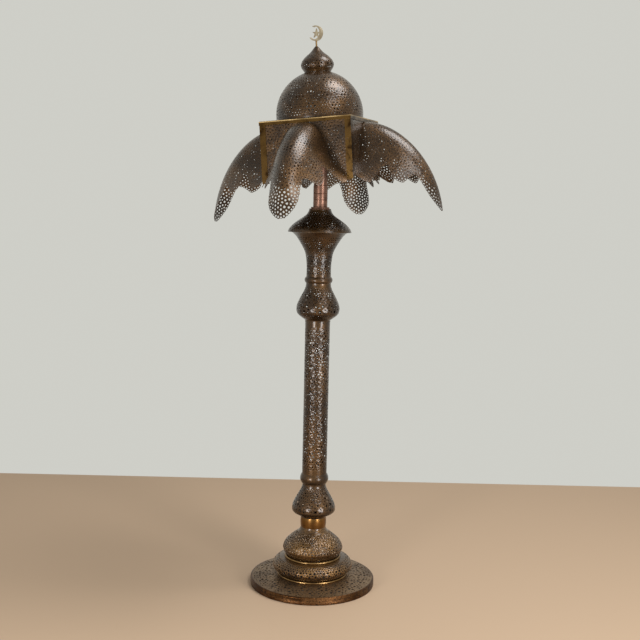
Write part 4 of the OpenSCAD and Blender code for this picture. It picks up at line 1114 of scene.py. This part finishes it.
def leaf_point(p, q):
    """A place on the leaf, upright: p degrees out along its ridge, and a share q across from it."""
    reach = np.clip(np.minimum(p / 30, (90 - p) / 25), 0, 1)
    f = np.clip(p + side_lead * q * q * reach, 0, 90)
    section = leaf_section(f, np.abs(q))
    ridge = leaf_ridge(f)
    heading = leaf_ridge(np.minimum(f + 0.5, 90)) - leaf_ridge(np.maximum(f - 0.5, 0))
    heading /= np.hypot(heading[..., 0], heading[..., 1])[..., None]
    out = leaf_face + ridge[..., 0] - soft_min(heading[..., 1] * section[..., 1], 0.9 * ridge[..., 0])
    level = box_top - ridge[..., 1] - heading[..., 0] * section[..., 1]
    return np.stack([out, np.sign(q) * section[..., 0], level], -1)


def leaf_border(p):
    """How far across the leaf reaches at p: two drops and two notches, then the rounded tip."""
    points, shares = (0, 30, 36, 48, 57, tip_start), (1, 1.07, 0.70, 0.98, 0.60, 0.85)
    place = np.clip(np.searchsorted(points, p, side="right") - 1, 0, 4)
    start, end = np.array(points)[place], np.array(points)[place + 1]
    wave = (1 - np.cos(math.pi * np.clip((p - start) / (end - start), 0, 1))) / 2
    drop = np.array(shares)[place] + (np.array(shares)[place + 1] - np.array(shares)[place]) * wave
    tip_length = 90 - tip_start
    blunt = (np.clip(p - tip_start, 0, tip_length) / tip_length) ** 2.5
    tip = shares[-1] * np.sqrt(np.maximum(1 - blunt, 0))
    return np.maximum(np.where(p > tip_start, tip, drop), 0.1)


def flattened(p_lines, q_lines):
    """Lays the leaf flat without skewing it: least squares conformal, its ridge held straight."""
    p, q = np.meshgrid(p_lines, q_lines, indexing="ij")
    solid = leaf_point(p, q).reshape(-1, 3)
    rows, columns = p.shape
    a = (np.arange(rows - 1)[:, None] * columns + np.arange(columns - 1)).ravel()
    corners = np.concatenate([np.stack([a, a + columns, a + columns + 1], 1),
                              np.stack([a, a + columns + 1, a + 1], 1)])
    first, second, third = (solid[corners[:, i]] for i in range(3))
    base, other = second - first, third - first
    length = np.linalg.norm(base, axis=1)
    x3 = (base * other).sum(1) / length
    y3 = np.linalg.norm(np.cross(base, other), axis=1) / length
    size = 1 / np.sqrt(length * y3)
    weights = np.stack([(x3 - length) + 1j * y3, -x3 - 1j * y3, length + 0j], 1) * size[:, None]
    count = len(solid)
    rise = np.zeros((2 * len(corners), 2 * count), np.float64)
    lines = np.arange(len(corners))
    for i in range(3):
        rise[lines, corners[:, i]] += weights[:, i].real
        rise[lines, count + corners[:, i]] -= weights[:, i].imag
        rise[len(corners) + lines, corners[:, i]] += weights[:, i].imag
        rise[len(corners) + lines, count + corners[:, i]] += weights[:, i].real
    ridge = np.arange(rows) * columns
    fixed = np.r_[count + ridge, 0, (rows - 1) * columns]
    ridge_length = np.linalg.norm(np.diff(solid[ridge], axis=0), axis=1).sum()
    held = np.zeros(2 * count)
    held[(rows - 1) * columns] = ridge_length
    free = np.setdiff1d(np.arange(2 * count), fixed)
    normal = rise[:, free].T @ rise[:, free]
    flat = held.copy()
    flat[free] = np.linalg.solve(normal, -rise[:, free].T @ (rise @ held))
    return np.stack([flat[:count], flat[count:]], 1).reshape(rows, columns, 2)


leaf_wide = 1.1
p_lines = np.r_[np.linspace(0, 30, 16), np.linspace(32, 88, 29), leaf_end]
q_lines = np.linspace(0, leaf_wide, 18)
leaf_flat = flattened(p_lines, q_lines)


def on_flat(p, q):
    """The flattened place of (p, q)."""
    i = np.clip(np.searchsorted(p_lines, p, side="right") - 1, 0, len(p_lines) - 2)
    j = np.clip(np.searchsorted(q_lines, np.abs(q), side="right") - 1, 0, len(q_lines) - 2)
    s = ((p - p_lines[i]) / (p_lines[i + 1] - p_lines[i]))[:, None]
    t = ((np.abs(q) - q_lines[j]) / (q_lines[j + 1] - q_lines[j]))[:, None]
    spot = (leaf_flat[i, j] * (1 - s) * (1 - t) + leaf_flat[i + 1, j] * s * (1 - t)
            + leaf_flat[i, j + 1] * (1 - s) * t + leaf_flat[i + 1, j + 1] * s * t)
    return spot * np.stack([np.ones_like(q), np.where(q < 0, -1, 1)], 1)


leaf_tree = KDTree(leaf_flat.size // 2)
for number, spot in enumerate(leaf_flat.reshape(-1, 2)):
    leaf_tree.insert((*spot, 0), number)
leaf_tree.balance()


def off_flat(spots):
    """(p, q) of flattened places, by a few steps of Newton's method from the nearest grid node."""
    near = np.array([leaf_tree.find((x, abs(y), 0))[1] for x, y in spots.tolist()], int)
    p, q = p_lines[near // len(q_lines)], q_lines[near % len(q_lines)]
    goal = np.stack([spots[:, 0], np.abs(spots[:, 1])], 1)
    for _ in range(7):
        here = on_flat(p, q)
        back_p, back_q = np.where(p > 88, -0.4, 0.4), np.where(q > 1.05, -0.01, 0.01)
        along_p = (on_flat(p + back_p, q) - here) / back_p[:, None]
        along_q = (on_flat(p, q + back_q) - here) / back_q[:, None]
        miss = goal - here
        area = along_p[:, 0] * along_q[:, 1] - along_p[:, 1] * along_q[:, 0]
        step_p = (miss[:, 0] * along_q[:, 1] - miss[:, 1] * along_q[:, 0]) / area
        step_q = (miss[:, 1] * along_p[:, 0] - miss[:, 0] * along_p[:, 1]) / area
        p, q = np.clip(p + step_p, 0, leaf_end), np.clip(q + step_q, 0, leaf_wide)
    return p, np.where(spots[:, 1] < 0, -q, q)


def leaf_scale_at(p, q):
    """How much longer the leaf is than its flattened place, at (p, q)."""
    step = np.where(p > 88, -0.5, 0.5)
    flat = np.hypot(*(on_flat(p + step, q) - on_flat(p, q)).T)
    solid = np.linalg.norm(leaf_point(p + step, q) - leaf_point(p, q), axis=1)
    return np.clip(solid / flat, 0.3, 3)


def near_border(p, q):
    """A mask that rises from 0 to 1 over the last quarter of the way from the ridge to the border."""
    return np.clip((np.abs(q) / leaf_border(p) - 0.75) / 0.25, 0, 1)


def leaf_pitch(spots):
    """Distance between neighbouring holes: close at the root and open at the tip and the edges."""
    p, q = off_flat(spots)
    edge = near_border(p, q) * np.clip(p / 30, 0, 1)
    pitch = 0.0088 + 0.0016 * np.clip((p - 35) / 45, 0, 1) + 0.0006 * edge
    return pitch / leaf_scale_at(p, q)


side_p = np.linspace(0, leaf_end, 260)
side_edge = on_flat(side_p, leaf_border(side_p))
root_edge = on_flat(np.zeros(60), np.linspace(-1, 1, 60))
tip_edge = on_flat(np.full(8, leaf_end), np.linspace(0.1, -0.1, 8))
lower_edge = side_edge * (1, -1)
leaf_outline = np.concatenate([lower_edge, tip_edge[::-1], side_edge[::-1], root_edge[::-1]])
leaf_rims = [paired_border(lower_edge, leaf_pitch, True), paired_border(side_edge[::-1], leaf_pitch, True),
             paired_border(root_edge[::-1], leaf_pitch)]
leaf_held = np.concatenate([rim[0] for rim in leaf_rims])
leaf_beyond = np.concatenate([rim[1] for rim in leaf_rims])
leaf_chance = np.random.RandomState(51)
leaf_loose = scatter(leaf_outline, leaf_held, leaf_pitch, leaf_chance, tries=60000)
leaf_loose = settled(leaf_loose, leaf_held, leaf_beyond, rounds=2)
flower_p = np.array([6, 14, 22, 32, 42, 52, 62, 14, 22, 32, 42, 24])
flower_q = np.array([0, 0.34, 0, 0.3, 0, 0.32, 0, 0.72, 0.55, 0.62, 0.55, 0.82])
flower_at = on_flat(flower_p, flower_q)
leaf_flowers = [(x, side * y, 6) for x, y in flower_at for side in ((1,) if y == 0 else (1, -1))]
leaf_loose, leaf_petals = with_flowers(leaf_loose, leaf_flowers, leaf_pitch)
leaf_seeds = np.concatenate([leaf_loose, leaf_held])
leaf_owner, leaf_place = voronoi_rings(np.concatenate([leaf_seeds, leaf_beyond]), len(leaf_seeds))
leaf_owner, leaf_place = without_short_sides(leaf_owner, leaf_place, shortest_side)
seed_p, seed_q = off_flat(leaf_seeds)
lacy_sides = near_border(seed_p, seed_q) * np.clip((seed_p - 25) / 20, 0, 1)
lacy_tip = np.clip((seed_p - 54) / 22, 0, 1)
root_opening, lace_extra, petal_opening, rim_extra, rim_most, plain_until = 0.37, 0.18, 0.52, 0.06, 0.68, 28
leaf_open = root_opening + lace_extra * np.maximum(lacy_tip, lacy_sides)
leaf_open *= 0.88 + 0.24 * leaf_chance.rand(len(leaf_seeds))
rim_from = len(leaf_loose)
leaf_open[rim_from - leaf_petals:rim_from] = petal_opening
leaf_open[rim_from:] = np.clip(leaf_open[rim_from:] + rim_extra, 0, rim_most)
leaf_open[rim_from:][seed_p[rim_from:] < plain_until] = 0


def upright_leaf(spot, depth):
    p, q = off_flat(spot)
    down, across = np.where(p > 89, -0.4, 0.4)[:, None], 0.01
    at = leaf_point(p, q)
    ahead = (leaf_point(p + down[:, 0], q) - at) / down
    normal = np.cross(ahead, leaf_point(p, q + across) - leaf_point(p, q - across))
    normal /= np.linalg.norm(normal, axis=1)[:, None]
    normal[:, 0] *= np.clip(p / 2, 0, 1)
    return at - normal * depth


leaf_brass = brown_finish("Browned brass of the leaves", (0.027, 0.0125, 0.0035), (0.098, 0.048, 0.0145), 9.0,
                          wear=0.48)
leaf = pierced_sheet(leaf_owner, leaf_place, leaf_open, 0.5, upright_leaf, lining=True)
for quarter, side in enumerate(("right", "back", "left", "front")):
    turned_leaf = dict(leaf, points=lean(leaf["points"], quarter))
    leaf_cover = make_piece(f"leaf_{side}_cover", [turned_leaf], "lantern", "leaf_brass", f"leaf_{side}")
    finish_piece(leaf_cover, leaf_brass)


# ---- Roof plate -----------------------------------------------------------------------------------
# A square plate cut from brass sheet and soldered on the box's top band. It carries the dome over a
# round opening.

dress(dark_brass, "roof_plate")


# ---- Dome -----------------------------------------------------------------------------------------
# A globe spun from two brass sheets and pierced all over with flowers in a field of small holes, with
# plain lines chased between its three zones. Its open foot is soldered to the roof plate.

dome_r, dome_middle, dome_foot_z, dome_crown = 0.141, 1.5658, box_top + 0.001, 72.6
dome_start = math.degrees(math.asin((dome_foot_z - dome_middle) / dome_r))
dome_turns = np.radians(np.linspace(dome_start, dome_crown, 60))
dome_line = np.stack([dome_r * np.cos(dome_turns), dome_middle + dome_r * np.sin(dome_turns)], 1)


def dome_share(degrees):
    """The share of the dome's height that lies below an angle over its middle."""
    level = dome_middle + dome_r * math.sin(math.radians(degrees))
    return (level - dome_line[0, 1]) / (dome_line[-1, 1] - dome_line[0, 1])


dome_flowers = [(0.5, 0.3, 1.25, 6), (0.0, 0.68, 1.25, 6), (0.5, 0.86, 1.1, 5)]
dome_cover = shell_piece("dome_cover", "dome", dome_line, [
    (dome_share(-5), dome_share(31), 11, 8,
     dict(opening=0.34, relief=0.0003, flowers=dome_flowers, seed=61)),
    (dome_share(32), dome_share(55), 10, 6, dict(opening=0.36, flowers=[(0.5, 0.5, 1.25, 6)], seed=62)),
    (dome_share(56), dome_share(70.5), 8, 5, dict(opening=0.36, seed=63))],
    "lantern", "pierced_brass", lean, lining=True)
finish_piece(dome_cover, dark_brass)


# ---- Onion ----------------------------------------------------------------------------------------
# An onion-shaped finial shell spun from brass sheet and pierced round its belly. It stands on the
# crown of the dome, and the rod through it holds it there.

onion_keys = [(0, 0.042), (0.07, 0.045), (0.17, 0.0505), (0.3, 0.0535), (0.46, 0.0485), (0.62, 0.0365),
              (0.76, 0.022), (0.92, 0.0102), (1, 0.0042)]
onion_foot, onion_h = 1.7007, 0.083
onion_line = eased_outline([(r, onion_foot + onion_h * z) for z, r in onion_keys])
onion_cover = shell_piece("onion_cover", "onion", onion_line, [
    (0.1, 0.45, 8, 5, dict(opening=0.40, flowers=[(0.5, 0.5, 1.2, 6)], seed=65)),
    (0.48, 0.76, 6, 4, dict(opening=0.38, seed=66))],
    "lantern", "pierced_brass", lean, lining=True)
finish_piece(onion_cover, dark_brass)


# ---- Finial rod, crescent and star ----------------------------------------------------------------
# A brass rod runs up through the onion, held by a nut, and carries a crescent and a star sawn from
# thicker plate and polished pale.

pale_brass = bright_finish("Pale brass", (0.62, 0.52, 0.37), (0.34, 0.26, 0.17), 0.3)
dress(bright_brass, "finial_rod", "finial_nut")
dress(pale_brass, "crescent", "star")


# ---- Room, lights and camera ----------------------------------------------------------------------
# A plain pale floor before a pale room, a low window on each side of the camera, a skylight and a soft
# ceiling light, and a camera where the photograph was taken from.

view_turn, view_pitch, view_roll = math.radians(19.33), math.radians(6.2324), math.radians(1.27)
view_reach, view_height = 3.2307, 1.2508


def stage_sheet(name, corners, colour):
    mesh = bpy.data.meshes.new(name)
    mesh.from_pydata(corners, [], [(0, 1, 2, 3)])
    sheet_object = bpy.data.objects.new(name, mesh)
    bpy.context.scene.collection.objects.link(sheet_object)
    mesh.materials.append(plain_finish(name, colour, 0.0, 0.7))


def on_the_floor(across, away):
    """A place on the floor: across the view, and away from the camera."""
    return (across * math.cos(view_turn) - away * math.sin(view_turn),
            across * math.sin(view_turn) + away * math.cos(view_turn), cad_low.z)


floor_half, floor_near, floor_far = 1.65, -1.65, 1.28
stage_sheet("Pale floor", [on_the_floor(-floor_half, floor_near), on_the_floor(floor_half, floor_near),
                           on_the_floor(floor_half, floor_far), on_the_floor(-floor_half, floor_far)],
            (0.50, 0.355, 0.235))


def soft_lamp(name, azimuth, height, reach, size, power):
    """A soft light at an azimuth, a height and a reach from the lamp's axis, turned towards its middle."""
    lamp = bpy.data.lights.new(name, "AREA")
    lamp.shape = "RECTANGLE"
    lamp.size, lamp.size_y = size
    lamp.energy = power
    stand_in = bpy.data.objects.new(name, lamp)
    bpy.context.scene.collection.objects.link(stand_in)
    turn = math.radians(azimuth)
    place = Vector((reach * math.sin(turn), -reach * math.cos(turn), height))
    stand_in.location = place
    stand_in.rotation_euler = (aimed_at - place).to_track_quat("-Z", "Y").to_euler()


aimed_at = Vector((0, 0, 1.0))
soft_lamp("Left window", azimuth=-12, height=0.6, reach=2.6, size=(0.4, 0.9), power=34)
soft_lamp("Right window", azimuth=57, height=0.65, reach=2.6, size=(0.5, 1.1), power=38)
soft_lamp("Right skylight", azimuth=56, height=2.95, reach=2.6, size=(0.9, 1.0), power=24)
soft_lamp("Ceiling light", azimuth=100, height=4.1, reach=1.5, size=(1.6, 1.6), power=92)

world = bpy.data.worlds.new("Pale room")
bpy.context.scene.world = world
world.use_nodes = True
room_nodes, room_links = world.node_tree.nodes, world.node_tree.links
room = room_nodes["Background"]
room.inputs["Color"].default_value = (0.80, 0.81, 0.78, 1)
room.inputs["Strength"].default_value = 0.40
seen = room_nodes.new("ShaderNodeBackground")
seen.inputs["Color"].default_value = (0.62, 0.62, 0.575, 1)
path = room_nodes.new("ShaderNodeLightPath")
pick = room_nodes.new("ShaderNodeMixShader")
either = calculate(room_nodes, room_links, "MAXIMUM", path.outputs["Is Camera Ray"],
                   path.outputs["Is Transmission Ray"])
either = calculate(room_nodes, room_links, "MAXIMUM", either, path.outputs["Is Glossy Ray"])
room_links.new(either, pick.inputs[0])
room_links.new(room.outputs[0], pick.inputs[1])
room_links.new(seen.outputs[0], pick.inputs[2])
room_links.new(pick.outputs[0], room_nodes["World Output"].inputs[0])

picture_width, focal_pixels, shift_pixels, film_width = 640, 980.8, 2.3, 36
camera_data = bpy.data.cameras.new("Camera")
camera_data.lens = focal_pixels / picture_width * film_width
camera_data.sensor_width = film_width
camera_data.shift_x = shift_pixels / picture_width
camera = bpy.data.objects.new("Camera", camera_data)
bpy.context.scene.collection.objects.link(camera)
camera.location = (view_reach * math.sin(view_turn), -view_reach * math.cos(view_turn), view_height)
level_camera = Matrix.Rotation(view_turn, 3, "Z") @ Matrix.Rotation(math.pi / 2 - view_pitch, 3, "X")
camera.rotation_euler = (level_camera @ Matrix.Rotation(view_roll, 3, "Z")).to_euler()
bpy.context.scene.camera = camera
bpy.context.scene.view_settings.view_transform = "Standard"
